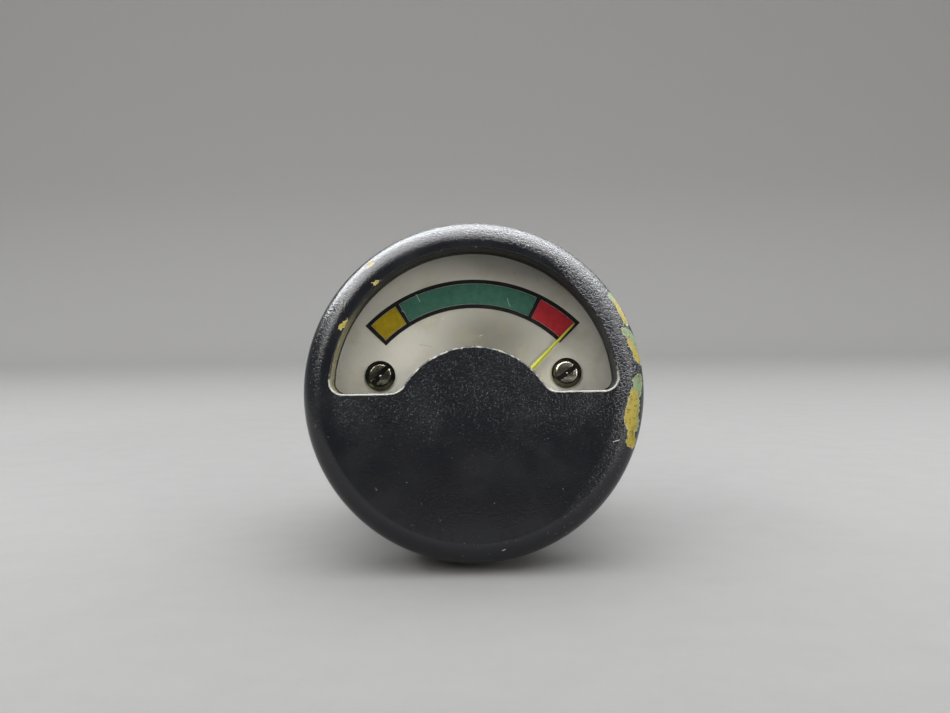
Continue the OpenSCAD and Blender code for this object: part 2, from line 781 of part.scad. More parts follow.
// The opening in the outline for one colour field, or the field itself, smaller by g all round
module field_2d(from_deg, to_deg, g = 0) {
  mid_r = (band_r_in + band_r_out) / 2;
  in_by_deg = (line_w / 2 + g) / mid_r * 180 / PI;
  in_by = line_w + g;
  band_2d(band_r_in + in_by, band_r_out - in_by, from_deg + in_by_deg, to_deg - in_by_deg);
}

line_deg = line_w / 2 / ((band_r_in + band_r_out) / 2) * 180 / PI;
first_deg = -band_half_deg + line_deg;
last_deg = band_half_deg - line_deg;

module ink() {
  translate([0, 0, z_dial]) linear_extrude(ink_t) children();
}

module band_outline() {
  color([0.05, 0.05, 0.05]) ink() difference() {
    band_2d(band_r_in, band_r_out, -band_half_deg, band_half_deg);
    field_2d(first_deg, cold_deg);
    field_2d(cold_deg, hot_deg);
    field_2d(hot_deg, last_deg);
  }
}

module band_yellow() {
  color([0.6, 0.5, 0.03]) ink() field_2d(first_deg, cold_deg, print_gap);
}

module band_green() {
  color([0.2, 0.38, 0.3]) ink() field_2d(cold_deg, hot_deg, print_gap);
}

module band_red() {
  color([0.6, 0.1, 0.14]) ink() field_2d(hot_deg, last_deg, print_gap);
}

module dial_spacers() {
  color([0.75, 0.62, 0.35]) at_dial_screws()
    ring(dial_head_d / 2, screw_r + hole_gap, z_chassis, z_dial_back);
}

// A slotted screw with a low domed head that seats on z = 0
module domed_screw(turn) {
  head_r = dial_head_d / 2;
  dome_r = (head_r * head_r + dial_head_dome * dial_head_dome) / (2 * dial_head_dome);
  slot = 2 * slot_w;
  rod(screw_r, -dial_t - dial_gap - tapped_depth, eps);
  difference() {
    intersection() {
      rod(head_r, 0, dial_head_h + over);
      translate([0, 0, dial_head_h - dome_r]) sphere(dome_r);
    }
    rotate([0, 0, turn])
      translate([-head_r - over, -slot / 2, dial_head_h - dial_slot_depth])
        cube([2 * (head_r + over), slot, dial_slot_depth + over]);
  }
}

module dial_screws() {
  color([0.45, 0.43, 0.36]) {
    translate([-dial_screw_x, dial_screw_y, z_dial]) domed_screw(dial_slot_deg[0]);
    translate([dial_screw_x, dial_screw_y, z_dial]) domed_screw(dial_slot_deg[1]);
  }
}

module yoke_ring() {
  color([0.4, 0.4, 0.42]) difference() {
    at_pivot() ring(yoke_r_out, yoke_r_in, z_yoke, z_yoke_rear);
    at_posts() rod(screw_r + thread_gap, z_yoke - thread_len - seat_gap, z_yoke + over);
    at_bridge_ends() rod(screw_r + thread_gap, z_yoke_rear - over, z_yoke_rear + thread_len + seat_gap);
  }
}

module core_magnet() {
  color([0.5, 0.5, 0.52]) at_pivot() rod(core_r, z_yoke, z_yoke_rear);
}

module core_blocks() {
  length = yoke_len - 2 * block_inset;
  color([0.78, 0.62, 0.3]) at_pivot() intersection() {
    ring(yoke_r_in - eps, core_r + eps, z_yoke - block_inset, z_yoke_rear + block_inset);
    translate([-block_w / 2, -yoke_r_out, z_yoke_rear - over])
      cube([block_w, 2 * yoke_r_out, length + 4 * over]);
  }
}

module yoke_posts() {
  color([0.78, 0.62, 0.3]) at_posts() ring(post_r, screw_r + hole_gap, z_yoke, z_step);
}

module yoke_screws() {
  len = chassis_t - counterbore + post_len + thread_len;
  color([0.7, 0.7, 0.68]) at_posts() translate([0, 0, z_chassis - counterbore])
    slotted_screw(screw_r, len, head_r, head_h);
}

// Outline of both bridges: a bar with round ends and a round middle
module bridge_2d() {
  difference() {
    union() {
      translate([-bridge_screw_r, -bridge_w / 2]) square([2 * bridge_screw_r, bridge_w]);
      both_sides() translate([bridge_screw_r, 0]) circle(bridge_w / 2);
      circle(bridge_w / 2 + 0.5);
    }
    circle(jewel_screw_r + thread_gap);
    both_sides() translate([bridge_screw_r, 0]) circle(screw_r + hole_gap);
  }
}

module front_bridge() {
  color([0.7, 0.7, 0.72]) at_pivot() {
    translate([0, 0, z_bridge_back]) linear_extrude(bridge_t) bridge_2d();
    ring(boss_r, jewel_screw_r + thread_gap, z_bridge_back - boss_h, z_bridge_back + eps);
  }
}

module bridge_spacers() {
  color([0.78, 0.62, 0.3]) at_bridge_ends()
    ring(bridge_spacer_r, screw_r + hole_gap, z_chassis, z_bridge_back);
}

module front_bridge_screws() {
  len = bridge_t + z_bridge_back - z_chassis + tapped_depth;
  color([0.7, 0.7, 0.68]) at_bridge_ends() translate([0, 0, z_bridge])
    slotted_screw(screw_r, len, head_r, head_h, bridge_slot_deg);
}

// A jewel screw drawn with its inner end, towards the coil, at z = 0 and its slot above
module jewel_screw() {
  length = jewel_reach + bridge_t + jewel_out;
  difference() {
    rod(jewel_screw_r, 0, length);
    rod(jewel_r, -over, jewel_t);
    translate([-jewel_screw_r - over, -slot_w / 2, length - slot_depth])
      cube([2 * (jewel_screw_r + over), slot_w, slot_depth + over]);
  }
}

// A jewel with the cup for the pivot's tip, drawn with its face at z = 0
module jewel() {
  cup_depth = jewel_t * 0.55;
  difference() {
    rod(jewel_r, 0, jewel_t);
    translate([0, 0, -eps]) cylinder(r1 = pivot_r + seat_gap, r2 = seat_gap, h = cup_depth);
  }
}

// Places what is drawn pointing outwards at the front or rear bearing
module at_front_bearing(z) {
  at_pivot() translate([0, 0, z]) children();
}

module at_rear_bearing(z) {
  at_pivot() translate([0, 0, z]) mirror([0, 0, 1]) children();
}

module front_jewel_screw() {
  color([0.8, 0.65, 0.3]) at_front_bearing(z_front_end) jewel_screw();
}

module rear_jewel_screw() {
  color([0.8, 0.65, 0.3]) at_rear_bearing(z_rear_end) jewel_screw();
}

module front_jewel() {
  color([0.7, 0.2, 0.3]) at_front_bearing(z_front_end) jewel();
}

module rear_jewel() {
  color([0.7, 0.2, 0.3]) at_rear_bearing(z_rear_end) jewel();
}

module front_locknut() {
  color([0.8, 0.65, 0.3]) at_front_bearing(z_bridge)
    hex_nut(locknut_af, locknut_h, jewel_screw_r + thread_gap, 0);
}

module rear_locknut() {
  color([0.8, 0.65, 0.3]) at_rear_bearing(z_rear_bridge_out)
    hex_nut(locknut_af, locknut_h, jewel_screw_r + thread_gap, 0);
}

// A ring round the bridge's boss with a leg that holds the hairspring's outer end.
// It is drawn with the bridge's inner face at z = 0 and the coil below it.
module spring_arm(tail) {
  r_in = boss_r + run_gap;
  r_out = r_in + corrector_ring_w;
  leg_r = spring_r + run_gap;
  leg_w = 0.35;
  leg_drop = z_bridge_back - z_front_end + collet_gap + collet_len;
  plate_back = -run_gap - corrector_t;
  difference() {
    union() {
      rod(r_out, -run_gap, plate_back);
      rotate([0, 0, corrector_leg_deg]) {
        translate([0, -corrector_w / 2, plate_back]) cube([leg_r + leg_w, corrector_w, corrector_t]);
        translate([leg_r, -corrector_w / 2, -leg_drop]) cube([leg_w, corrector_w, leg_drop - run_gap]);
      }
      if (tail) translate([-corrector_w / 2, -corrector_tail, plate_back])
        cube([corrector_w, corrector_tail, corrector_t]);
    }
    rod(r_in, plate_back - over, over);
    if (tail) translate([-corrector_w / 6, -corrector_tail - over, plate_back - over])
      cube([corrector_w / 3, corrector_tail * 0.2 + over, corrector_t + 2 * over]);
  }
}

module zero_corrector() {
  color([0.8, 0.65, 0.3]) at_front_bearing(z_bridge_back) spring_arm(true);
}

module rear_spring_arm() {
  color([0.8, 0.65, 0.3]) at_rear_bearing(z_rear_bridge) spring_arm(false);
}

module rear_bridge() {
  color([0.7, 0.7, 0.72]) at_rear_bearing(z_rear_bridge) {
    linear_extrude(bridge_t) bridge_2d();
    ring(boss_r, jewel_screw_r + thread_gap, -boss_h, eps);
  }
}

module rear_bridge_posts() {
  color([0.78, 0.62, 0.3]) at_bridge_ends()
    ring(post_r, screw_r + hole_gap, z_yoke_rear, z_rear_bridge);
}

module rear_bridge_screws() {
  len = bridge_t + rear_post_len + thread_len;
  color([0.7, 0.7, 0.68]) at_bridge_ends() translate([0, 0, z_rear_bridge_out]) mirror([0, 0, 1])
    slotted_screw(screw_r, len, head_r, head_h, rear_slot_deg);
}

// A rectangular frame round the core, from half width a to half width b
module coil_frame(a, b, end_in, end_out, width) {
  translate([0, 0, (z_yoke + z_yoke_rear) / 2]) difference() {
    cube([2 * b, width, yoke_len + 2 * end_out], center = true);
    cube([2 * a, width + over, yoke_len + 2 * end_in], center = true);
  }
}

module coil_former() {
  inner_end = coil_end_gap;
  web_end = coil_end_gap + former_t;
  color([0.75, 0.75, 0.77]) turning() {
    coil_frame(former_in, former_out, inner_end, web_end, coil_w);
    for (side = [-1, 1]) translate([0, side * (coil_w - cheek_t) / 2, 0])
      coil_frame(former_in, winding_out, inner_end, coil_end, cheek_t);
  }
}

module coil_winding() {
  color([0.65, 0.3, 0.15]) turning()
    coil_frame(former_out, winding_out, coil_end_gap + former_t, coil_end, coil_w - 2 * cheek_t);
}

// Foot, stem and collet on one end of the coil, drawn outwards from the coil's end at z = 0
module pivot_base(reach) {
  difference() {
    union() {
      translate([-foot_len / 2, -coil_w / 2, 0]) cube([foot_len, coil_w, foot_t]);
      rod(stem_r, foot_t / 2, reach - collet_len);
      rod(collet_r, reach - collet_len - eps, reach);
    }
    rod(pivot_r, foot_t, reach + over);
  }
}

// A steel needle with a cone tip, drawn from the coil's end outwards to the jewel
module pivot_needle(reach) {
  rod(pivot_r, foot_t + eps, reach - tip_len);
  translate([0, 0, reach - tip_len]) cylinder(r1 = pivot_r, r2 = tip_r, h = tip_len);
}

base_reach = z_front_end - collet_gap - z_coil;
rear_base_reach = z_coil_rear - z_rear_end - collet_gap;

module front_pivot_base() {
  color([0.8, 0.65, 0.3]) turning() translate([0, 0, z_coil]) pivot_base(base_reach);
}

module rear_pivot_base() {
  color([0.8, 0.65, 0.3]) turning() translate([0, 0, z_coil_rear]) mirror([0, 0, 1])
    pivot_base(rear_base_reach);
}

module front_pivot() {
  color([0.6, 0.62, 0.65]) turning() translate([0, 0, z_coil])
    pivot_needle(base_reach + collet_gap + tip_in_jewel);
}

module rear_pivot() {
  color([0.6, 0.62, 0.65]) turning() translate([0, 0, z_coil_rear]) mirror([0, 0, 1])
    pivot_needle(rear_base_reach + collet_gap + tip_in_jewel);
}

// The pointer: a ring on the stem and a tapered blade that is cranked up over the dial
module pointer() {
  hub_mid = z_pointer_hub + hub_h / 2;
  low = hub_mid - pointer_t / 2;
  high = z_pointer - pointer_t / 2;
  start = stem_r + hub_w / 2;
  color([0.85, 0.88, 0.2]) turning() {
    ring(stem_r + hub_w, stem_r, z_pointer_hub, z_pointer_hub + hub_h);
    intersection() {
      rotate([90, 0, -90]) translate([0, 0, -over]) mirror([1, 0, 0]) linear_extrude(2 * over)
        polygon([
          [start, low], [crank_from, low], [crank_to, high], [pointer_len, high],
          [pointer_len, high + pointer_t], [crank_to, high + pointer_t],
          [crank_from, low + pointer_t], [start, low + pointer_t]
        ]);
      translate([0, 0, z_pointer_hub - over]) linear_extrude(z_pointer - z_pointer_hub + 2 * over)
        polygon([
          [-pointer_w / 2, start], [pointer_w / 2, start], [pointer_w / 2, crank_to + 2],
          [pointer_tip_w / 2, pointer_len], [-pointer_tip_w / 2, pointer_len],
          [-pointer_w / 2, crank_to + 2]
        ]);
    }
  }
}

balance_degs = [0, 180, 270];

module balance_arms() {
  z = z_balance_hub + hub_h / 2;
  color([0.8, 0.65, 0.3]) turning() {
    ring(stem_r + hub_w, stem_r, z_balance_hub, z_balance_hub + hub_h);
    for (a = balance_degs) rotate([0, 0, a]) translate([0, 0, z]) rotate([0, 90, 0])
      rod(balance_arm_r, stem_r + hub_w / 2, balance_len);
  }
}

module balance_weights() {
  z = z_balance_hub + hub_h / 2;
  color([0.7, 0.6, 0.35]) turning() for (a = balance_degs) {
    at = a == 270 ? tail_weight_at : side_weight_at;
    len = a == 270 ? tail_weight_len : side_weight_len;
    rotate([0, 0, a]) translate([0, 0, z]) rotate([0, 90, 0])
      ring(weight_r, balance_arm_r, at, at + len);
  }
}

// A flat spiral strip from the collet to the spring arm's leg
module hairspring() {
  step_deg = 15;
  steps = spring_turns * 360 / step_deg;
  r_in = collet_r + eps;
  r_out = spring_r - spring_t;
  inner = [
    for (i = [0:steps])
      let (a = i * step_deg, r = r_in + (r_out - r_in) * i / steps) r * [cos(a), sin(a)]
  ];
  outer = [
    for (i = [steps:-1:0])
      let (a = i * step_deg, r = r_in + spring_t + (r_out - r_in) * i / steps) r * [cos(a), sin(a)]
  ];
  rotate([0, 0, corrector_leg_deg]) linear_extrude(spring_w) polygon(concat(inner, outer));
}

module front_hairspring() {
  z = z_front_end - collet_gap - (collet_len + spring_w) / 2;
  color([0.75, 0.5, 0.25]) at_front_bearing(z) hairspring();
}

module rear_hairspring() {
  z = z_rear_end + collet_gap + (collet_len + spring_w) / 2;
  color([0.75, 0.5, 0.25]) at_rear_bearing(z) hairspring();
}

module at_spool() {
  translate([0, spool_y, 0]) children();
}

module resistor_spool() {
  color([0.35, 0.2, 0.12]) at_spool() difference() {
    union() {
      rod(spool_core_r, z_step, spool_end_z);
      rod(spool_r, z_step, z_step - spool_flange_t);
      rod(spool_r, spool_end_z + spool_flange_t, spool_end_z);
    }
    rod(screw_r + hole_gap, z_step + over, spool_end_z - over);
  }
}

module resistor_winding() {
  color([0.45, 0.25, 0.12]) at_spool()
    ring(spool_r - spool_fill, spool_core_r, z_step - spool_flange_t, spool_end_z + spool_flange_t);
}

spool_nut_h = 1;

module spool_screw() {
  len = chassis_t - counterbore + spool_len + spool_nut_h + head_h;
  color([0.7, 0.7, 0.68]) at_spool() translate([0, 0, z_chassis - counterbore])
    slotted_screw(screw_r, len, head_r, head_h, spool_slot_deg);
}

module spool_nut() {
  color([0.8, 0.65, 0.3]) at_spool()
    hex_nut(locknut_af, spool_nut_h, screw_r + thread_gap, spool_end_z - spool_nut_h);
}

function unit(v) = v / norm(v);

// The direction of a route at its point i
function route_dir(path, i) = unit(path[min(i + 1, len(path) - 1)] - path[max(i - 1, 0)]);

// One side direction for each point of a route, carried along without twist
function route_sides(path, i = 0, side = [1, 0, 0]) =
  i >= len(path) ? [] :
  let (t = route_dir(path, i), s = unit(side - (side * t) * t))
  concat([s], route_sides(path, i + 1, s));

// A round tube of radius r swept along a route
module tube(path, r, sides = 8) {
  across = route_sides(path);
  last = len(path) - 1;
  points = [
    for (i = [0:last], k = [0:sides - 1])
      let (a = 360 * k / sides, t = route_dir(path, i), s = across[i])
      path[i] + r * (cos(a) * s + sin(a) * cross(t, s))
  ];
  walls = [
    for (i = [0:last - 1], k = [0:sides - 1])
      let (n = (k + 1) % sides)
      [i * sides + k, (i + 1) * sides + k, (i + 1) * sides + n, i * sides + n]
  ];
  near_end = [for (k = [0:sides - 1]) k];
  far_end = [for (k = [sides - 1:-1:0]) last * sides + k];
  polyhedron(points, concat([near_end], walls, [far_end]));
}

module lead_wires() {
  color([0.6, 0.1, 0.1]) {
    tube(lead_to_spool, wire_r);
    tube(lead_to_front, wire_r);
    tube(lead_to_rear, wire_r);
  }
}

stand() front_cover();
stand() window_gasket();
stand() window_glass();
stand() glass_ring();
stand() case_body();
stand() cover_seal();
stand() rear_gasket();
stand() rear_cover();
stand() terminal_studs();
stand() solder_lugs();
stand() terminal_washers();
stand() fixing_nuts();
stand() lock_washers();
stand() terminal_nuts();
stand() chassis_plate();
stand() chassis_screws();
stand() dial_plate();
stand() band_outline();
stand() band_yellow();
stand() band_green();
stand() band_red();
stand() dial_spacers();
stand() dial_screws();
stand() pointer_stops();
stand() yoke_ring();
stand() core_magnet();
stand() core_blocks();
stand() yoke_posts();
stand() yoke_screws();
stand() front_bridge();
stand() bridge_spacers();
stand() front_bridge_screws();
stand() front_jewel_screw();
stand() front_jewel();
stand() front_locknut();
stand() zero_corrector();
stand() rear_bridge();
stand() rear_bridge_posts();
stand() rear_bridge_screws();
stand() rear_jewel_screw();
stand() rear_jewel();
stand() rear_locknut();
stand() rear_spring_arm();
stand() coil_former();
stand() coil_winding();
stand() front_pivot_base();
stand() rear_pivot_base();
stand() front_pivot();
stand() rear_pivot();
stand() pointer();
stand() balance_arms();
stand() balance_weights();
stand() front_hairspring();
stand() rear_hairspring();
stand() resistor_spool();
stand() resistor_winding();
stand() spool_screw();
stand() spool_nut();
stand() lead_wires();
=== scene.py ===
"""Looks, light and camera of a round sealed panel temperature gauge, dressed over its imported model."""
import json
import math

import bmesh
import bpy
from mathutils import Matrix, Vector
from mathutils.geometry import delaunay_2d_cdt


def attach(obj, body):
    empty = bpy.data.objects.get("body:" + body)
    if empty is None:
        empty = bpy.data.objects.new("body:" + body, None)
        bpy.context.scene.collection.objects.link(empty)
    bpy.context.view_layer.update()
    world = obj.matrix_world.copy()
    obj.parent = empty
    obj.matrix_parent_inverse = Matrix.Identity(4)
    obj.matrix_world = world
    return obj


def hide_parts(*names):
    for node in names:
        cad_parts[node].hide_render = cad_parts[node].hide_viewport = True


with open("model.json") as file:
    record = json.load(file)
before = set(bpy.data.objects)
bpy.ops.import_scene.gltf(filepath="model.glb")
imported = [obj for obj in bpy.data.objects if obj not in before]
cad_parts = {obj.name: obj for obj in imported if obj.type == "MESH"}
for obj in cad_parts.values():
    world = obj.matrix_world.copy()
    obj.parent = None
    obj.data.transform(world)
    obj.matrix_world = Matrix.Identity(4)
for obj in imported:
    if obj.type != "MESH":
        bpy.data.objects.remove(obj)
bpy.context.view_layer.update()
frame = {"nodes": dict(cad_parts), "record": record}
nodes = frame["nodes"]
finish_of_node = {s["node"]: s["material_slot"] for s in frame["record"]["subparts"]}

MM = 0.001
TAU = 2 * math.pi

# Hair scratches, fibres and crumbs on the cover, the dial and its screws: x, y, x, y, width
FACE_SCRATCHES = [(15.10, -5.87, 15.82, -5.60, 0.09), (2.75, -17.45, 3.1, -17.3, 0.08)]
SCREW_SCRATCHES = [(10.15, 2.6, 10.85, 2.92, 0.08), (10.85, 2.92, 11.5, 2.45, 0.06),
                   (10.3, 1.5, 11.3, 1.3, 0.06), (-11.5, 1.7, -11.0, 1.2, 0.06)]
BAND_SCRATCHES = [(-6.57, 11.49, -6.12, 10.55, 0.07), (-8.30, 9.63, -7.83, 9.36, 0.07),
                  (4.1, 10.9, 4.4, 9.9, 0.04)]
DIAL_FIBRE = [(-6.11, 5.68, -4.70, 5.30, 0.07)]
DIAL_CRUMBS = [(-3.52, 8.60, -3.46, 8.63, 0.17), (0.72, 6.48, 1.02, 6.60, 0.12)]
DIAL_DIRT = [(4.9, 13.9, 4.95, 13.85, 0.13)]

# Sizes in millimetres, drawn looking at the dial: x right, y up, z towards the eye, panel plane at z = 0
PIVOT_Y, POINTER_LEAN_DEG = -4.35, 44.3
COVER_R, COVER_IN_R, EDGE_R = 19.05, 18.05, 2.4
FACE_Z, FACE_BACK_Z = 11.0, 8.0
FLAT_R = COVER_R - EDGE_R
WINDOW_R, SILL_Y = 15.85, -0.2
HUMP_R, FOOT_R, CORNER_R = 9.2, 2.0, 1.4
FOOT = (9.360, 1.8)
CORNER = (14.400, 1.2)
EDGE_BREAK = 0.17
DIAL_SCREW_AT = (10.807, 2.052)
CUP_R, BARREL_R, BARREL_END_Z = 18.0, 15.875, -27.0
STUD_X, STUD_R, STUD_BORE_R, STUD_END_Z = 6.5, 1.75, 1.77, -39.2
# Where each thing on a stud ends, from the rear cover's face outward
REAR_Z, WASHER_Z, FIXING_NUT_Z, LOCK_WASHER_Z, NUT_Z = -28.0, -28.6, -31.0, -31.8, -34.2

# The photo's lens: its focal length in the photo's pixels, the photo's width and the sensor that stands for it
FOCAL_PX, PHOTO_WIDTH_PX, SENSOR_MM = 909.4, 950, 36.0


# ---------------------------------------------------------------- shapes

def placed(x, y, z):
    """A point drawn looking at the dial, in millimetres, as a point of the frame in metres."""
    return (x * MM, -z * MM, y * MM)


def put(name, data):
    """A new object in the scene."""
    thing = bpy.data.objects.new(name, data)
    bpy.context.scene.collection.objects.link(thing)
    return thing


def solid(name, points, faces):
    """An object from points in millimetres and faces, every shell with its faces outward."""
    mesh = bpy.data.meshes.new(name)
    mesh.from_pydata([placed(*p) for p in points], [], faces)
    mesh.validate()
    work = bmesh.new()
    work.from_mesh(mesh)
    bmesh.ops.recalc_face_normals(work, faces=work.faces)
    if work.calc_volume(signed=True) < 0:
        bmesh.ops.reverse_faces(work, faces=work.faces)
    work.to_mesh(mesh)
    work.free()
    return put(name, mesh)


def as_plain_mesh(thing):
    """Turns what the object's modifiers make into its own mesh and takes the modifiers off."""
    result = bpy.data.meshes.new_from_object(thing.evaluated_get(bpy.context.evaluated_depsgraph_get()))
    thing.modifiers.clear()
    thing.data = result
    return thing


def join(name, things):
    """One object out of several."""
    mesh = bpy.data.meshes.new(name)
    work = bmesh.new()
    for thing in things:
        work.from_mesh(thing.data)
    work.to_mesh(mesh)
    work.free()
    for thing in things:
        bpy.data.objects.remove(thing)
    return put(name, mesh)


def cut(thing, tool, how="DIFFERENCE"):
    """Cuts a solid with another one, or joins the two, and drops the second."""
    step = thing.modifiers.new("cut", "BOOLEAN")
    step.object, step.operation, step.solver = tool, how, "EXACT"
    as_plain_mesh(thing)
    bpy.data.objects.remove(tool)
    work = bmesh.new()
    work.from_mesh(thing.data)
    bmesh.ops.remove_doubles(work, verts=work.verts, dist=2e-7)
    work.to_mesh(thing.data)
    work.free()


def edges_broken(thing, width_mm, above_deg=40, steps=2):
    """Rounds the sharp edges of a solid."""
    step = thing.modifiers.new("edges", "BEVEL")
    step.width, step.segments, step.limit_method = width_mm * MM, steps, "ANGLE"
    step.angle_limit = math.radians(above_deg)
    return as_plain_mesh(thing)


def piece(name, points, faces, body, stands_for, finish, sharp_deg=34):
    """A finished piece from points in millimetres, set on its body."""
    return settle(solid(name, points, faces), body, stands_for, finish, sharp_deg)


def settle(thing, body, stands_for, finish, sharp_deg=34):
    """Smooths a piece by angle, sets it on its body, gives it its finish and hides the nodes it stands for."""
    thing.data.polygons.foreach_set("use_smooth", [True] * len(thing.data.polygons))
    thing.data.set_sharp_from_angle(angle=math.radians(sharp_deg))
    step = thing.modifiers.new("even shading", "WEIGHTED_NORMAL")
    step.keep_sharp = True
    mesh = as_plain_mesh(thing).data
    mesh.materials.clear()
    mesh.materials.append(finishes[finish])
    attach(thing, body)
    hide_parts(*stands_for)
    return thing


def rounded(corners, steps=5):
    """A closed outline of (x, y, radius) corners with each corner rounded off."""
    outline = []
    for i, (x, y, radius) in enumerate(corners):
        here = Vector((x, y))
        if not radius:
            outline.append((x, y))
            continue
        back = Vector(corners[i - 1][:2]) - here
        on = Vector(corners[(i + 1) % len(corners)][:2]) - here
        half = back.angle(on) / 2
        short = min(radius / math.tan(half), 0.49 * back.length, 0.49 * on.length)
        back, on = back.normalized(), on.normalized()
        middle = here + (back + on).normalized() * short / math.cos(half)
        start, end = here + back * short - middle, here + on * short - middle
        turn = start.angle_signed(end)
        outline += [tuple(middle + rotated(start, -turn * k / steps)) for k in range(steps + 1)]
    return outline


def rotated(v, angle):
    c, s = math.cos(angle), math.sin(angle)
    return Vector((v[0] * c - v[1] * s, v[0] * s + v[1] * c))


def leaned(points):
    """Points drawn about the pivot with the pointer upright, as they stand when it leans at rest."""
    lean = math.radians(-POINTER_LEAN_DEG)
    return [(*(rotated((x, y), lean) + Vector((0, PIVOT_Y))), z) for x, y, z in points]


def polar(radius, angle, at=(0, 0)):
    """The point at that radius and angle from another one."""
    return at[0] + radius * math.cos(angle), at[1] + radius * math.sin(angle)


def even(count):
    """Angles in equal steps all round."""
    return [TAU * k / count for k in range(count)]


def quarter(steps):
    """Angles from nothing to a right angle."""
    return [math.pi / 2 * k / steps for k in range(steps + 1)]


def around(count):
    """Each number of a closed loop with the next one."""
    return [(i, (i + 1) % count) for i in range(count)]


def numbered(loops, wide, start=0):
    """The point numbers of loops that follow each other in a list of points."""
    return [range(start + k * wide, start + (k + 1) * wide) for k in range(loops)]


def bands(loops):
    """Faces between each closed loop of point numbers and the next loop."""
    return [(low[i], low[j], high[j], high[i])
            for low, high in zip(loops, loops[1:]) for i, j in around(len(low))]


def turned(profile, angles, at=(0, 0), reach=None):
    """A closed profile of (r, z) turned about an axis at x, y. reach(r, z, angle) may move each point."""
    points, rows = [], []
    for r, z in profile:
        if r < 1e-6:
            rows.append([len(points)] * len(angles))
            points.append((*at, z))
            continue
        rows += numbered(1, len(angles), len(points))
        for a in angles:
            r_here, z_here = reach(r, z, a) if reach else (r, z)
            points.append((*polar(r_here, a, at), z_here))
    faces = [list(dict.fromkeys(face)) for face in bands(rows + rows[:1])]
    return points, [face for face in faces if len(face) > 2]


def joined(*shells):
    """Several closed shells as one set of points and faces."""
    points, faces = [], []
    for shell_points, shell_faces in shells:
        start = len(points)
        points += shell_points
        faces += [[start + i for i in face] for face in shell_faces]
    return points, faces


def swept(sections):
    """A closed solid through loops that all have the same number of corners."""
    loops = numbered(len(sections), len(sections[0]))
    points = [point for section in sections for point in section]
    return points, bands(loops) + [list(loops[0]), list(loops[-1])[::-1]]


def rod(radius, low, high, at=(0, 0), count=48):
    return turned([(0, low), (radius, low), (radius, high), (0, high)], even(count), at)


def slab(x0, x1, y0, y1, z0, z1, at=(0, 0), turn_deg=0.0):
    """A plain block, turned about its own origin and moved to at."""
    corners = [rotated((x, y), math.radians(turn_deg)) + Vector(at) for x, y in
               ((x0, y0), (x1, y0), (x1, y1), (x0, y1))]
    points = [(c[0], c[1], z) for z in (z0, z1) for c in corners]
    return points, [(3, 2, 1, 0), (4, 5, 6, 7), (0, 1, 5, 4), (1, 2, 6, 5), (2, 3, 7, 6), (3, 0, 4, 7)]


# ---------------------------------------------------------------- repeated pieces, by Geometry Nodes

def node_group(kind, name, inputs, outputs):
    """An empty node group with named sockets (label, kind, maybe a first value), and its two ends."""
    tree = bpy.data.node_groups.new(name, kind)
    for label, socket_kind, *first in inputs:
        socket = tree.interface.new_socket(label, in_out="INPUT", socket_type="NodeSocket" + socket_kind)
        if first:
            socket.default_value = first[0]
    for label, socket_kind in outputs:
        tree.interface.new_socket(label, in_out="OUTPUT", socket_type="NodeSocket" + socket_kind)
    return tree, tree.nodes.new("NodeGroupInput").outputs, tree.nodes.new("NodeGroupOutput").inputs


def recipe(name, inputs, shape):
    """A Geometry Nodes recipe: what shape(tree, given) builds, as real geometry with its finish on it."""
    tree, given, out = node_group("GeometryNodeTree", name, inputs + [("Finish", "Material")],
                                  [("Geometry", "Geometry")])
    real = build(tree, "RealizeInstances", Geometry=shape(tree, given))
    tree.links.new(build(tree, "SetMaterial", Geometry=real, Material=given["Finish"]), out["Geometry"])
    return tree


def build(tree, kind, settings=None, **sockets):
    """A geometry node. A socket name is written with _ for a space."""
    node = tree.nodes.new("GeometryNode" + kind)
    for key, value in (settings or {}).items():
        setattr(node, key, value)
    for key, value in sockets.items():
        for part in value if isinstance(value, list) else [value]:
            if isinstance(part, bpy.types.NodeSocket):
                tree.links.new(part, node.inputs[key.replace("_", " ")])
            else:
                node.inputs[key.replace("_", " ")].default_value = part
    return node.outputs[0]


def drawn_wire(tree, path, radius, sides):
    """Round wire along a curve."""
    ring = build(tree, "CurvePrimitiveCircle", Resolution=sides, Radius=radius)
    return build(tree, "CurveToMesh", Curve=path, Profile_Curve=ring, Fill_Caps=True)


def copies_in_row(tree, given, thing, **more):
    line = build(tree, "MeshLine", Count=given["Count"], Start_Location=given["First"], Offset=given["Step"])
    return build(tree, "InstanceOnPoints", Points=line, Instance=thing, **more)


def wire_on_path(tree, given):
    path = build(tree, "MeshToCurve", Mesh=given["Path"])
    path = build(tree, "CurveSplineType", {"spline_type": "CATMULL_ROM"}, Curve=path)
    path = build(tree, "SetSplineResolution", Geometry=path, Resolution=6)
    return drawn_wire(tree, path, given["Wire"], 14)


def turns_on_spool(tree, given):
    helix = build(tree, "CurveSpiral", Resolution=40, Rotations=given["Turns"], Start_Radius=given["Radius"],
                  End_Radius=given["Radius"], Height=given["Length"])
    wire = build(tree, "Transform", Geometry=drawn_wire(tree, helix, given["Wire"], 7),
                 Translation=given["Place"], Rotation=(-math.pi / 2, 0.0, 0.0))
    return build(tree, "JoinGeometry", Geometry=[given["Core"], wire])


def turns_on_frame(tree, given):
    loop = build(tree, "CurvePrimitiveQuadrilateral", Width=given["Width"], Height=given["Height"])
    loop = build(tree, "FilletCurve", {"mode": "POLY"}, Curve=loop, Count=5, Radius=given["Corner"])
    turns = copies_in_row(tree, given, drawn_wire(tree, loop, given["Wire"], 8), Rotation=given["Turn"])
    return build(tree, "JoinGeometry", Geometry=[given["Core"], turns])


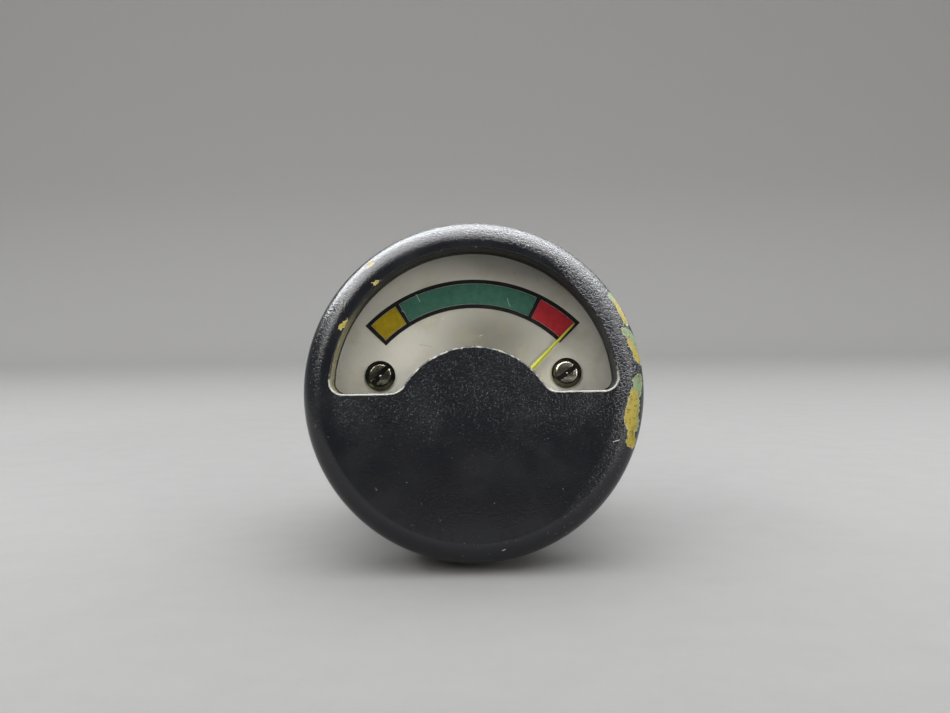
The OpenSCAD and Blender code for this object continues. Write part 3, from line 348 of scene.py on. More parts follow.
ROW = [("Count", "Int", 2), ("First", "Vector"), ("Step", "Vector")]
row_recipe = recipe("Row of copies", [("Piece", "Geometry")] + ROW,
                    lambda tree, given: copies_in_row(tree, given, given["Piece"]))
path_recipe = recipe("Wire along a path", [("Path", "Geometry"), ("Wire", "Float", 0.0003)], wire_on_path)
spool_recipe = recipe("Turns on a spool", [
    ("Core", "Geometry"), ("Turns", "Float", 10.0), ("Radius", "Float", 0.002), ("Length", "Float", 0.007),
    ("Wire", "Float", 0.0001), ("Place", "Vector")], turns_on_spool)
frame_recipe = recipe("Turns on a frame", [
    ("Core", "Geometry"), ("Width", "Float", 0.01), ("Height", "Float", 0.012), ("Corner", "Float", 0.0003),
    ("Wire", "Float", 0.0001), ("Turn", "Vector")] + ROW, turns_on_frame)


def run_recipe(tree, thing, finish, **values):
    """Puts a recipe on an object, sets its inputs and keeps the plain mesh that it makes."""
    step = thing.modifiers.new("recipe", "NODES")
    step.node_group = tree
    wanted = dict(values, Finish=finishes[finish])
    for item in tree.interface.items_tree:
        if item.in_out == "INPUT" and item.name in wanted:
            step[item.identifier] = wanted[item.name]
    as_plain_mesh(thing)


# ---------------------------------------------------------------- shader helpers

def connect(tree, value, socket):
    """Links a socket or a measure to another socket, or sets a plain value on it."""
    value = getattr(value, "socket", value)
    if isinstance(value, bpy.types.NodeSocket):
        tree.links.new(value, socket)
    else:
        socket.default_value = value


def add(tree, kind, sockets=None, **settings):
    node = tree.nodes.new("ShaderNode" + kind)
    for key, value in settings.items():
        setattr(node, key, value)
    for key, value in (sockets or {}).items():
        connect(tree, value, node.inputs[key])
    return node


class Measure:
    """A number that changes over the surface. A sum with it becomes a node of its tree."""

    def __init__(self, tree, socket):
        self.tree, self.socket = tree, socket

    def combine(self, how, other=0.0, swapped=False, clamp=False):
        pair = {0: other, 1: self} if swapped else {0: self, 1: other}
        return Measure(self.tree, add(self.tree, "Math", pair, operation=how, use_clamp=clamp).outputs[0])

    def step(self, low, high):
        """0 below low, 1 above high, smooth between."""
        node = add(self.tree, "MapRange", {"Value": self, "From Min": low, "From Max": high},
                   interpolation_type="SMOOTHSTEP")
        return Measure(self.tree, node.outputs["Result"])

    def at_least(self, other):
        return self.combine("MAXIMUM", other)

    def __add__(self, other):
        return self.combine("ADD", other)

    def __sub__(self, other):
        return self.combine("SUBTRACT", other)

    def __rsub__(self, other):
        return self.combine("SUBTRACT", other, swapped=True)

    def __mul__(self, other):
        return self.combine("MULTIPLY", other)

    def __truediv__(self, other):
        return self.combine("DIVIDE", other)

    def __rtruediv__(self, other):
        return self.combine("DIVIDE", other, swapped=True)

    def __abs__(self):
        return self.combine("ABSOLUTE")


def vector(tree, how, first, second=(0.0, 0.0, 0.0), result=0):
    """A sum on whole places or colours."""
    pair = {0: first, "Scale" if how == "SCALE" else 1: second}
    return add(tree, "VectorMath", pair, operation=how).outputs[result]


def noise(tree, spot, scale, **values):
    return add(tree, "TexNoise", dict(values, Vector=spot, Scale=scale)).outputs


def mixed(tree, share, first, second):
    return add(tree, "Mix", {0: share, 6: first, 7: second}, data_type="RGBA").outputs[2]


def colour(red, green, blue):
    """A colour written in 0-255 display values, as linear light."""
    def linear(v):
        v /= 255
        return v / 12.92 if v <= 0.04045 else ((v + 0.055) / 1.055) ** 2.4
    return (linear(red), linear(green), linear(blue), 1.0)


def coats(tree, under, *layers):
    """A tone with others laid over it, each where its share says."""
    for share, tone in layers:
        under = mixed(tree, share, under, colour(*tone) if isinstance(tone, tuple) else tone)
    return under


# ---------------------------------------------------------------- effects that several finishes share

HALF = (0.5, 0.5, 0.5)
FLAT = (1.0, 0.0, 1.0)


def effect(name, inputs, *outputs):
    """An empty shader node group that works on a place, and its sockets."""
    return node_group("ShaderNodeTree", name, [("Vector", "Vector")] + inputs,
                      [(label, "Float") for label in outputs])


def per_mm(tree, size):
    """Texture scale that gives features of that size in millimetres on coordinates in metres."""
    return 1000.0 / Measure(tree, size)


def make_crinkle():
    """Wrinkle-finish enamel: short worm-like ridges."""
    tree, given, out = effect("Crinkle enamel", [("Size", "Float", 0.28)], "Height", "Ridges")
    spot, scale = given["Vector"], per_mm(tree, given["Size"])
    push = vector(tree, "SUBTRACT", noise(tree, spot, scale, Detail=1.0)["Color"], HALF)
    bent = vector(tree, "ADD", spot, vector(tree, "SCALE", push, 0.00026))
    worms = Measure(tree, noise(tree, bent, scale, Detail=2.0, Roughness=0.45)["Fac"])
    ridges = 1.0 - abs(worms - 0.5).step(0.0, 0.17)
    fine = Measure(tree, noise(tree, spot, scale * 2.3, Detail=1.0)["Fac"])
    connect(tree, fine * 0.25 + ridges, out["Height"])
    connect(tree, ridges, out["Ridges"])
    return tree


def make_blotches():
    """Soft patches: stains, dust films and uneven wear."""
    tree, given, out = effect("Blotches", [("Size", "Float", 3.0), ("From", "Float", 0.45), ("To", "Float", 0.65)],
                              "Mask")
    cloud = noise(tree, given["Vector"], per_mm(tree, given["Size"]), Detail=4.0, Roughness=0.55, Distortion=0.3)
    connect(tree, Measure(tree, cloud["Fac"]).step(given["From"], given["To"]), out["Mask"])
    return tree


def make_specks():
    """Sparse small dots: dust, pits and nicks."""
    tree, given, out = effect("Specks", [("Spacing", "Float", 1.0), ("Size", "Float", 0.1), ("Share", "Float", 0.3)],
                              "Mask")
    cells = add(tree, "TexVoronoi", {"Vector": given["Vector"], "Scale": per_mm(tree, given["Spacing"])}).outputs
    lot = add(tree, "SeparateColor", {0: cells["Color"]}).outputs
    reach = Measure(tree, given["Size"]) / given["Spacing"] * (Measure(tree, lot[1]) + 0.25)
    near = Measure(tree, cells["Distance"]).step(reach, reach * 0.55)
    connect(tree, near * Measure(tree, lot[0]).combine("LESS_THAN", given["Share"]), out["Mask"])
    return tree


def make_grain():
    """Fine grain, drawn out along one axis where its stretch is small there."""
    tree, given, out = effect("Grain", [("Size", "Float", 0.08), ("Stretch", "Vector", (1.0, 1.0, 1.0))], "Value")
    spot = vector(tree, "MULTIPLY", given["Vector"], given["Stretch"])
    flow = noise(tree, spot, per_mm(tree, given["Size"]), Detail=3.0, Roughness=0.6)
    connect(tree, flow["Fac"], out["Value"])
    return tree


def make_scratch():
    """One hair scratch or fibre between two places, seen from the front."""
    tree, given, out = effect("Hair scratch", [("From", "Vector"), ("To", "Vector"), ("Width", "Float", 0.08)],
                              "Mask")
    flat = vector(tree, "MULTIPLY", given["Vector"], FLAT)
    wave = noise(tree, flat, 700.0, Detail=1.0)
    bend = vector(tree, "SCALE", vector(tree, "SUBTRACT", wave["Color"], HALF), 0.0004)
    flat = vector(tree, "ADD", flat, vector(tree, "MULTIPLY", bend, FLAT))
    arm = vector(tree, "SUBTRACT", flat, given["From"])
    line = vector(tree, "SUBTRACT", given["To"], given["From"])
    along = Measure(tree, vector(tree, "DOT_PRODUCT", arm, line, "Value")).combine(
        "DIVIDE", vector(tree, "DOT_PRODUCT", line, line, "Value"), clamp=True)
    gap = vector(tree, "SUBTRACT", arm, vector(tree, "SCALE", line, along))
    away = Measure(tree, vector(tree, "LENGTH", gap, result="Value"))
    half = Measure(tree, given["Width"]) * 0.0005 * (Measure(tree, wave["Fac"]) * 1.6 + 0.2)
    connect(tree, away.step(half, half * 0.4), out["Mask"])
    return tree


crinkle, blotches, specks, grain, scratch = (make() for make in (
    make_crinkle, make_blotches, make_specks, make_grain, make_scratch))


# ---------------------------------------------------------------- finishes

class Finish:
    """A material in the making: tones are laid over the first one, and the last is its base colour."""

    def __init__(self, name, tone=(255, 255, 255)):
        self.material = bpy.data.materials.new(name)
        self.material.use_nodes = True
        self.tree = self.material.node_tree
        self.shader = self.tree.nodes["Principled BSDF"]
        self.spot = add(self.tree, "TexCoord").outputs["Object"]
        self.tone = colour(*tone)

    def effect(self, group, **values):
        """A shared effect placed here with its own values."""
        node = add(self.tree, "Group", dict(values, Vector=self.spot), node_tree=group)
        found = [Measure(self.tree, socket) for socket in node.outputs]
        return found if len(found) > 1 else found[0]

    def blotches(self, size, low, high):
        return self.effect(blotches, Size=size, From=low, To=high)

    def grain(self, size, stretch=(1.0, 1.0, 1.0)):
        return self.effect(grain, Size=size, Stretch=stretch)

    def specks(self, spacing, size, share):
        return self.effect(specks, Spacing=spacing, Size=size, Share=share)

    def mark(self, label):
        """A measure that the mesh keeps with its points."""
        return Measure(self.tree, add(self.tree, "Attribute", attribute_name=label).outputs["Fac"])

    def part(self, axis, spot=None):
        """One part of a place, in metres."""
        return Measure(self.tree, add(self.tree, "SeparateXYZ", {0: spot or self.spot}).outputs[axis])

    def off_axis(self, spot=None):
        """How far a place is from the axis that runs front to back, in millimetres."""
        flat = vector(self.tree, "MULTIPLY", spot or self.spot, (1000.0, 0.0, 1000.0))
        return Measure(self.tree, vector(self.tree, "LENGTH", flat, result="Value"))

    def lay(self, share, tone):
        self.tone = coats(self.tree, self.tone, (share, tone))

    def scratches(self, marks, tone):
        """Hair scratches of one tone: each (x, y, x, y, width) in millimetres."""
        for x0, y0, x1, y1, width in marks:
            self.lay(self.effect(scratch, From=placed(x0, y0, 0), To=placed(x1, y1, 0), Width=width), tone)

    def done(self, height=None, depth_mm=0.0, **values):
        """Feeds the base colour, the bump and the other sockets, and gives the material."""
        connect(self.tree, self.tone, self.shader.inputs["Base Color"])
        if height:
            bump = add(self.tree, "Bump", {"Height": height, "Distance": depth_mm * MM, "Strength": 1.0})
            connect(self.tree, bump.outputs["Normal"], self.shader.inputs["Normal"])
        for label, value in values.items():
            connect(self.tree, value, self.shader.inputs[label.replace("_", " ")])
        return self.material


def metal_finish(name, clean, dull, rough=0.32, stretch=(1, 1, 1), depth=0.004, film=4.0, amount=0.6):
    """Bare or plated metal with tool grain and a patchy dull film."""
    metal = Finish(name, clean)
    tarnish, lines = metal.blotches(film, 0.38, 0.72), metal.grain(0.06, stretch)
    metal.lay(tarnish * amount, dull)
    metal.lay(lines.step(0.55, 0.8) * 0.25, dull)
    return metal.done(lines, depth, Metallic=1.0,
                      Roughness=lines * 0.12 + (tarnish * (0.22 * amount) + (rough - 0.06)))


def ink_finish(name, tone, deeper):
    """Screen-printed ink on the dial: a touch uneven, with pinholes."""
    ink = Finish(name, tone)
    weave = ink.grain(0.07)
    ink.lay(ink.blotches(0.7, 0.3, 0.75), deeper)
    ink.lay(weave.step(0.5, 0.8) * 0.35, tuple(min(255, v * 1.3 + 8) for v in tone))
    ink.lay(ink.specks(0.55, 0.05, 0.22) * 0.45, (190, 188, 178))
    ink.scratches(BAND_SCRATCHES, (214, 222, 214))
    return ink.done(weave, 0.004, Roughness=0.6, Specular_IOR_Level=0.18)


def cover_finish():
    """Black crinkle enamel over zinc primer, chipped on the rim, with painted highlights and some wear along the
    window's edge.
    """
    paint = Finish("cover paint", (23, 24, 28))
    height, ridges = paint.effect(crinkle, Size=0.34)
    film = paint.blotches(5.0, 0.35, 0.75)
    across, deep = paint.part("X") * 1000.0, paint.part("Y") * -1000.0
    high = paint.part("Z") * 1000.0 + film * 1.5
    from_axis = paint.off_axis()
    # the crinkle is crisp round the window and on the rim, and smoothed low on the face;
    # right of the window it starts at the window's edge, and on the left of the rim it is faint
    on_rim = (from_axis + across.step(8.0, 13.0) * 1.3).step(16.2, 17.5)
    on_rim = on_rim * (high.step(-8.0, 4.0) * 0.75 + 0.25) * (across.step(-11.0, 3.0) * 0.75 + 0.25)
    crisp = (high.step(-7.5, -1.0) * 0.24 + 0.06) * (from_axis.step(15.2, 15.8) * -0.8 + 1.0)
    crisp = crisp.at_least(on_rim)
    # painted highlight: the crinkle's ridges are laid a paler tone where the crinkle is crisp
    paint.lay(ridges * crisp, (29, 30, 35))
    paint.lay(film * 0.3, (29, 30, 34))
    paint.lay(paint.specks(1.4, 0.10, 0.3).at_least(paint.specks(0.5, 0.05, 0.06)) * 0.6, (160, 162, 164))
    # painted glints: pale specks on the crisp crinkle stand for highlights where it catches the light
    paint.lay(paint.specks(0.33, 0.1, 0.16) * crisp * 1.2, (118, 120, 124))
    paint.scratches(FACE_SCRATCHES, (205, 205, 200))

    # zinc primer in the chips: yellow, with green where the top coat left a film, pits and a pale broken edge
    jag, fine = paint.grain(0.3), paint.grain(0.07)
    edge = paint.mark("chip") + (jag - 0.5) * 0.55 + (ridges - 0.5) * 0.07
    bare = edge.step(-0.02, 0.03)
    green = (paint.mark("green") + (jag - 0.5) * 1.6).step(-0.2, 0.2)
    green_film = coats(paint.tree, colour(126, 150, 106), (fine.step(0.35, 0.7), (88, 114, 78)))
    paint.lay(bare, coats(
        paint.tree, colour(178, 158, 32), (fine.step(0.3, 0.75), (134, 116, 24)), (green, green_film),
        (paint.blotches(0.9, 0.5, 0.68) * 0.45, (92, 79, 34)), (paint.specks(0.27, 0.15, 0.42) * 0.7, (52, 44, 24)),
        ((1.0 - abs(edge - 0.05).step(0.02, 0.07)) * 0.6, (184, 181, 130))))

    # the window's wall is olive primer, laid only on the left wall as painted light, while the dark top coat
    # elsewhere stands as painted shade
    inner = paint.mark("inner")
    olive = coats(paint.tree, colour(196, 189, 148), (jag.step(0.3, 0.7), (132, 125, 86)))
    paint.lay(inner * ((across * -1.0).step(12.0, 14.8) * 0.84 + 0.03), olive)
    # three tool lines run round the window's wall, and only the outermost shows on the shaded right side
    lit = across.step(4.0, 11.0) * -0.8 + 1.0
    for middle, tone, share in ((10.3, (58, 56, 42), 1.0), (9.45, (86, 83, 62), lit), (8.75, (50, 49, 40), lit)):
        paint.lay(abs(deep - middle).step(0.2, 0.1) * inner * 0.85 * share, tone)

    # a pale line on the window's edge break: a painted highlight, strongest where the edge faces up on the sills,
    # with some wear to bare metal
    edge_breakup = (fine - 0.5) * 0.5 + paint.grain(0.8)
    rubbed_and_lit = ((edge_breakup - 0.5) * 1.9 + paint.mark("worn_and_lit")).step(0.42, 0.68)
    paint.lay(rubbed_and_lit, coats(paint.tree, colour(206, 205, 196), (fine.step(0.35, 0.7), (132, 130, 122))))
    rough = (film * 0.1 + 0.16 + on_rim * 0.05).at_least(bare * 0.6).at_least(inner * 0.85)
    return paint.done(height * crisp.combine("SUBTRACT", bare * 0.7, clamp=True), 0.048, Roughness=rough)


def case_finish():
    """Plain stoved enamel on the case: orange peel, a few nicks and lengthwise scuffs."""
    paint = Finish("case paint", (34, 35, 38))
    film, peel = paint.blotches(6.0, 0.35, 0.75), paint.grain(0.45)
    scuff = paint.grain(0.5, (1.0, 0.07, 1.0)).step(0.6, 0.72) * film
    paint.lay(film * 0.5, (51.9, 53.25, 57.3))
    paint.lay(scuff * 0.5, (96, 97, 98))
    paint.lay(paint.specks(1.9, 0.16, 0.26) * 0.8, (150, 148, 138))
    return paint.done(peel, 0.012, Roughness=film * 0.15 + 0.35 + scuff * 0.15)


def dial_finish():
    """Satin silvered dial with a fine drawn grain and faint stains; painted shade darkens it high in its middle and
    painted light pales it towards the rim.
    """
    silver = Finish("dial silver", (150, 148, 138))
    stain, lines = silver.blotches(5.5, 0.4, 0.8), silver.grain(0.05, (1.0, 1.0, 0.25))
    # painted shade and light: the tone is dark near a spot high in the middle and pale further out, by distance from
    # that spot, with stains mixed in
    painted_shade_distance = vector(silver.tree, "MULTIPLY", silver.spot, (1000.0, 0.0, 1400.0))
    painted_shade_distance = vector(silver.tree, "LENGTH", vector(silver.tree, "ADD", painted_shade_distance, (-2.2, 0.0, -8.4)), result="Value")
    silver.lay((stain * -1.5 + painted_shade_distance).step(0.5, 11.0), (243, 241, 230))
    silver.lay(stain * 0.25, (178, 173, 158))
    silver.lay(silver.blotches(3.2, 0.5, 0.7) * 0.3, (196, 190, 152))
    silver.lay(lines.step(0.45, 0.8) * 0.3, (150, 146, 136))
    silver.lay(silver.specks(2.0, 0.09, 0.25) * 0.7, (246, 245, 240))
    silver.scratches(DIAL_FIBRE, (196, 160, 158))
    silver.scratches(DIAL_CRUMBS, (248, 248, 244))
    silver.scratches(DIAL_DIRT, (70, 66, 60))
    return silver.done(lines, 0.003, Metallic=0.85, Roughness=stain * 0.08 + 0.42)


def glass_finish():
    """Window glass: clear, and open to light from outside."""
    glass = Finish("window glass")
    glass.tone = (0.98, 0.98, 0.97, 1.0)
    glass.done(Roughness=0.03, IOR=1.5, Transmission_Weight=1.0)
    tree = glass.tree
    clear = add(tree, "BsdfTransparent", {"Color": (0.95, 0.945, 0.935, 1.0)})
    path = add(tree, "LightPath").outputs
    through = Measure(tree, path["Is Shadow Ray"]).at_least(path["Is Diffuse Ray"]).at_least(path["Is Glossy Ray"])
    both = add(tree, "MixShader", {0: through, 1: glass.shader.outputs[0], 2: clear.outputs[0]})
    connect(tree, both.outputs[0], tree.nodes["Material Output"].inputs["Surface"])
    return glass.material


def dial_screw_finish():
    """Browned screw heads, polished, the right one paler."""
    steel = Finish("dial screw", (140, 137, 122))
    film = steel.blotches(0.9, 0.35, 0.7)
    steel.lay(film, (92, 89, 76))
    steel.lay(steel.part("X").combine("GREATER_THAN", 0.0) * 0.6, (206, 202, 186))
    steel.scratches(SCREW_SCRATCHES, (216, 213, 200))
    # about each screw's own axis: painted shade in the slot and round the head's low outer ring, a painted olive
    # reflection low on the shoulder, and a painted highlight on the turning pip
    own = vector(steel.tree, "SUBTRACT", vector(steel.tree, "ABSOLUTE", steel.spot),
                 (DIAL_SCREW_AT[0] * MM, 0.0, DIAL_SCREW_AT[1] * MM))
    away = steel.off_axis(own)
    low = away.step(1.25, 1.4) * (steel.part("Z", own) * -1000.0).step(0.3, 1.1)
    steel.lay(steel.part("Y", own).step(0.0047, 0.00455) * 0.75, (34, 32, 27))
    steel.lay(low * 0.8, (134, 132, 96))
    steel.lay(away.step(0.19, 0.14), (236, 234, 226))
    return steel.done(steel.grain(0.12), 0.0008, Metallic=low * -0.75 + 1.0, Roughness=film * 0.08 + 0.12)


def rubber_finish():
    """Seal rubber with a grey bloom."""
    rubber = Finish("seal rubber", (24, 24, 24))
    bloom = rubber.blotches(1.4, 0.35, 0.8)
    rubber.lay(bloom * 0.5, (58, 57, 54))
    return rubber.done(rubber.grain(0.12), 0.01, Roughness=bloom * 0.2 + 0.55)


def phenolic_finish():
    """Brown-black moulded phenolic: mottled wood flour under a glossy skin, a little dusty."""
    resin = Finish("phenolic", (46, 26, 18))
    flow, flour = resin.blotches(1.6, 0.3, 0.75), resin.grain(0.12, (1.0, 0.6, 0.35))
    resin.lay(flow, (70, 38, 24))
    resin.lay(flour.step(0.5, 0.75) * 0.45, (96, 58, 36))
    resin.lay(resin.specks(0.9, 0.08, 0.3) * 0.5, (150, 140, 125))
    return resin.done(flour, 0.006, Roughness=flow * 0.16 + 0.26)


def lime_finish():
    """Lime paint on the pointer, brushed on."""
    lime = Finish("pointer lime", (232, 236, 70))
    brush = lime.grain(0.1)
    lime.lay(brush.step(0.3, 0.8), (206, 212, 52))
    return lime.done(brush, 0.004, Roughness=0.4)


def ruby_finish():
    """The bearing jewels' ruby, clear and a little cloudy."""
    ruby = Finish("jewel ruby", (190, 20, 60))
    ruby.lay(ruby.blotches(0.4, 0.3, 0.8), (150, 10, 45))
    return ruby.done(Roughness=0.06, Transmission_Weight=0.5, IOR=1.77)


def braid_finish():
    """Waxed cotton sleeve on the lead wires."""
    cotton = Finish("wire insulation", (176, 160, 108))
    weave = Measure(cotton.tree, add(cotton.tree, "TexVoronoi", {"Vector": cotton.spot, "Scale": 5200.0})
                    .outputs["Distance"])
    cotton.lay(weave.step(0.2, 0.7), (120, 104, 62))
    cotton.lay(cotton.blotches(2.0, 0.4, 0.75) * 0.4, (88, 74, 50))
    return cotton.done(1.0 - weave, 0.03, Roughness=0.6)

finishes = {
    "cover_paint": cover_finish(),
    "case_paint": case_finish(),
    "seal_rubber": rubber_finish(),
    "window_glass": glass_finish(),
    "spring_steel": metal_finish("spring steel", (150, 152, 156), (84, 80, 76), rough=0.28),
    "phenolic": phenolic_finish(),
    "terminal_brass": metal_finish("terminal brass", (184, 152, 92), (104, 82, 50), rough=0.3, film=1.3,
                                   amount=0.85, depth=0.006),
    "tinned_brass": metal_finish("tinned brass", (206, 204, 198), (138, 136, 130), rough=0.34, film=1.6),
    "zinc_steel": metal_finish("zinc plated steel", (196, 196, 190), (140, 134, 112), rough=0.3, film=2.2),
    "plate_brass": metal_finish("plate brass", (196, 162, 92), (136, 106, 58), rough=0.3, stretch=(0.15, 1, 1)),
    "dial_silver": dial_finish(),
    "ink_black": ink_finish("ink black", (13, 13, 15), (9, 9, 10)),
    "ink_yellow": ink_finish("ink yellow", (180, 156, 0), (156, 132, 0)),
    "ink_green": ink_finish("ink green", (62, 114, 97), (53, 100, 85)),
    "ink_red": ink_finish("ink red", (196, 42, 54), (168, 33, 43)),
    "dial_screw": dial_screw_finish(),
    "screw_steel": metal_finish("screw steel", (176, 176, 172), (110, 106, 98), rough=0.26, film=1.5),
    "soft_iron": metal_finish("soft iron", (124, 124, 126), (84, 78, 72), rough=0.4),
    "magnet_alloy": metal_finish("magnet alloy", (112, 112, 116), (72, 70, 70), rough=0.42, stretch=(1, 0.15, 1)),
    "bridge_silver": metal_finish("bridge silver", (198, 196, 190), (150, 146, 136), rough=0.3, stretch=(1, 1, 0.2)),
    "movement_brass": metal_finish("movement brass", (210, 174, 98), (150, 118, 62), rough=0.24, film=1.5),
    "jewel_ruby": ruby_finish(),
    "former_alu": metal_finish("former aluminium", (190, 190, 192), (150, 150, 150), rough=0.34),
    "coil_copper": metal_finish("coil copper", (176, 84, 48), (112, 46, 26), rough=0.24, film=1.0),
    "pivot_steel": metal_finish("pivot steel", (180, 184, 190), (130, 130, 134), rough=0.12, depth=0.001),
    "pointer_lime": lime_finish(),
    "hairspring_bronze": metal_finish("hairspring bronze", (196, 140, 78), (140, 92, 46), rough=0.22, depth=0.001),
    "resistance_wire": metal_finish("resistance wire", (130, 84, 48), (82, 50, 30), rough=0.3, film=1.0),
    "wire_insulation": braid_finish(),
}
for name, thing in nodes.items():
    if thing.material_slots:
        thing.material_slots[0].material = finishes[finish_of_node[name]]


# ---------------------------------------------------------------- front cover

# Outlines of the chips: degrees above three o'clock, millimetres outward from the flat face's rim
CHIPS = [
    [(35.3, 2.0), (34.7, 1.68), (33.4, 1.72), (32.0, 1.86), (30.8, 1.89), (29.3, 1.86), (27.9, 1.72), (26.2, 1.79),
     (24.7, 1.8), (23.4, 1.77), (22.3, 1.97), (22.1, 2.2), (22.5, 2.75), (23.8, 3.5), (24.9, 2.95), (26.7, 2.95),
     (28.5, 3.1), (30.9, 3.9), (32.3, 4.1), (33.9, 3.6), (35.1, 2.6)],
    [(22.2, 1.19), (21.4, 0.94), (20.0, 0.95), (18.9, 1.24), (17.3, 1.32), (16.2, 1.14), (15.0, 1.25), (13.7, 1.4),
     (12.2, 1.47), (11.0, 1.44), (9.4, 1.78), (8.3, 2.27), (7.6, 2.73), (8.0, 3.7), (9.7, 4.3), (10.9, 4.2),
     (12.0, 4.5), (13.9, 4.7), (15.5, 4.3), (17.3, 3.6), (18.6, 2.9), (20.1, 2.35), (21.6, 1.8)],
    [(5.0, 1.82), (4.3, 1.4), (3.6, 0.97), (2.7, 0.83), (1.6, 0.96), (0.4, 0.91), (-0.2, 0.72), (-1.5, 0.48),
     (-2.6, 0.45), (-3.7, 0.3), (-4.8, 0.35), (-6.2, 0.21), (-8.2, 0.08), (-10.2, 0.07), (-12.4, 0.12),
     (-14.0, 0.43), (-15.0, 0.51), (-15.3, 0.78), (-17.2, 0.89), (-18.1, 1.07), (-20.0, 0.93), (-20.8, 1.29),
     (-20.9, 1.99), (-21.3, 2.4), (-20.2, 2.52), (-18.9, 2.73), (-17.7, 2.45), (-16.7, 1.94), (-15.4, 1.93),
     (-14.5, 2.17), (-13.0, 2.38), (-11.0, 2.17), (-9.4, 1.88), (-7.4, 2.02), (-5.4, 1.91), (-3.7, 1.85),
     (-2.5, 2.0), (-1.3, 2.25), (0.1, 2.42), (2.1, 2.48), (3.7, 2.59), (4.7, 2.31)],
    [(130.4, 1.62), (128.8, 1.4), (126.8, 1.5), (127.2, 1.82), (129.0, 1.93), (130.2, 1.85)],
    [(133.4, -0.6), (131.9, -0.78), (130.0, -0.66), (130.2, -0.42), (131.6, -0.26), (133.0, -0.36)],
    [(155.2, -0.6), (153.0, -0.86), (150.2, -0.8), (149.6, -0.62), (151.4, -0.42), (153.2, -0.12), (154.8, -0.16)],
]
GREEN_FILMS = [
    [(37.0, 1.2), (32.3, 1.2), (31.6, 4.5), (37.0, 4.5)],
    [(23.0, 0.8), (19.2, 0.8), (18.6, 1.5), (14.5, 2.2), (11.0, 2.9), (9.5, 4.8), (23.0, 4.8)],
    [(6.0, 0.6), (-0.6, 0.6), (-1.2, 1.5), (-6.0, 1.72), (-9.2, 1.8), (-11.0, 1.9), (-14.4, 1.9), (-14.4, 2.8),
     (6.0, 2.8)],
]
RIM_MM_PER_DEG = 18 * math.pi / 180
PAST_CHIPS = 9.0  # further outward than any chip


def crosses(here, a, b):
    """Whether a line to the right from here crosses the side from a to b."""
    return (a.y > here.y) != (b.y > here.y) and here.x < a.x + (here.y - a.y) * (b.x - a.x) / (b.y - a.y)


def depth_inside(outlines, deg, out):
    """Distance in millimetres inside the nearest outline, negative outside."""
    best, here = -1.0, Vector((deg * RIM_MM_PER_DEG, out))
    for outline in outlines:
        if not (min(p[0] for p in outline) - 3 < deg < max(p[0] for p in outline) + 3):
            continue
        corners = [Vector((d * RIM_MM_PER_DEG, s)) for d, s in outline]
        near, inside = math.inf, False
        for a, b in zip(corners, corners[1:] + corners[:1]):
            side = b - a
            t = max(0.0, min(1.0, (here - a).dot(side) / side.length_squared))
            near = min(near, (a + side * t - here).length)
            inside ^= crosses(here, a, b)
        best = max(best, near if inside else -near)
    return best


def window_outline(grow):
    """The window's outline grown by that much: (x, y, how strong the edge's painted highlight and wear are),
    clockwise from twelve o'clock.
    """
    def arc(at, radius, start, end, steps, rubbed_and_lit):
        return [(*polar(radius, start + (end - start) * k / steps, at), rubbed_and_lit) for k in range(steps)]
    to_corner = math.atan2(CORNER[1], CORNER[0])
    hump_from = math.atan2(FOOT[1] - PIVOT_Y, FOOT[0])
    right = arc((0, 0), WINDOW_R + grow, math.pi / 2, to_corner, 96, 0.1)
    right += arc(CORNER, CORNER_R + grow, to_corner, -math.pi / 2, 14, 0.8)
    right += [(CORNER[0] + (FOOT[0] - CORNER[0]) * k / 14, SILL_Y - grow, 0.95) for k in range(14)]
    right += arc(FOOT, FOOT_R + grow, -math.pi / 2, hump_from - math.pi, 12, 0.72)
    right += arc((0, PIVOT_Y), HUMP_R - grow, hump_from, math.pi / 2, 42, 0.5)
    for k, rubbed_and_lit in zip(range(90, 96), (0.1, 0.14, 0.2, 0.3, 0.45, 0.62)):
        right[k] = (*right[k][:2], rubbed_and_lit)
    top = (0.0, PIVOT_Y + HUMP_R - grow, 0.5)
    return right + [top] + [(-x, y, rubbed_and_lit) for x, y, rubbed_and_lit in right[:0:-1]]


def fill_between(loop, ring, extra):
    """Flat triangles between an inner loop and an outer ring, as faces over loop + ring + extra."""
    flat = [Vector(p[:2]) for p in loop + ring + extra]
    count = len(loop)
    edges = around(count) + [(count + i, count + j) for i, j in around(len(ring))]
    corners, _, faces, sources, _, _ = delaunay_2d_cdt(flat, edges, [], 0, 1e-7)
    kept = []
    for face in faces:
        middle = sum((corners[i] for i in face), Vector((0, 0))) / len(face)
        if sum(crosses(middle, flat[i], flat[j]) for i, j in around(count)) % 2 == 0:
            kept.append([sources[i][0] for i in face])
    return kept


def cover_angles():
    """Angles round the cover, closest where the chips are."""
    angles, deg = [], -28.0
    while deg < 331.9:
        angles.append(math.radians(deg))
        deg += 0.36 if deg < 41 else (0.55 if 124 < deg < 160 else 1.6)
    return angles


def cover_rows():
    """The turned wall, rim to lip to inside: radius, z, millimetres outward from the flat face's rim."""
    skirt_z = FACE_Z - EDGE_R
    rows = [(FLAT_R + EDGE_R * math.sin(turn), skirt_z + EDGE_R * math.cos(turn), EDGE_R * turn)
            for turn in quarter(32)]
    rows += [(COVER_R, skirt_z - drop, EDGE_R * math.pi / 2 + drop)
             for drop in [0.15 * k for k in range(1, 13)] + [2.6, 4.0, 5.6]]
    lip = rounded([(COVER_R, 3.0, 0), (COVER_R, 0.0, 0.55), (17.25, 0.0, 0.25), (17.25, 0.6, 0.12),
                   (COVER_IN_R, 0.6, 0), (COVER_IN_R, 5.55, 0), (18.35, 5.55, 0), (18.35, 6.1, 0),
                   (COVER_IN_R, 6.1, 0), (COVER_IN_R, FACE_BACK_Z, 0)])
    return rows + [(r, z, PAST_CHIPS) for r, z in lip[1:]]


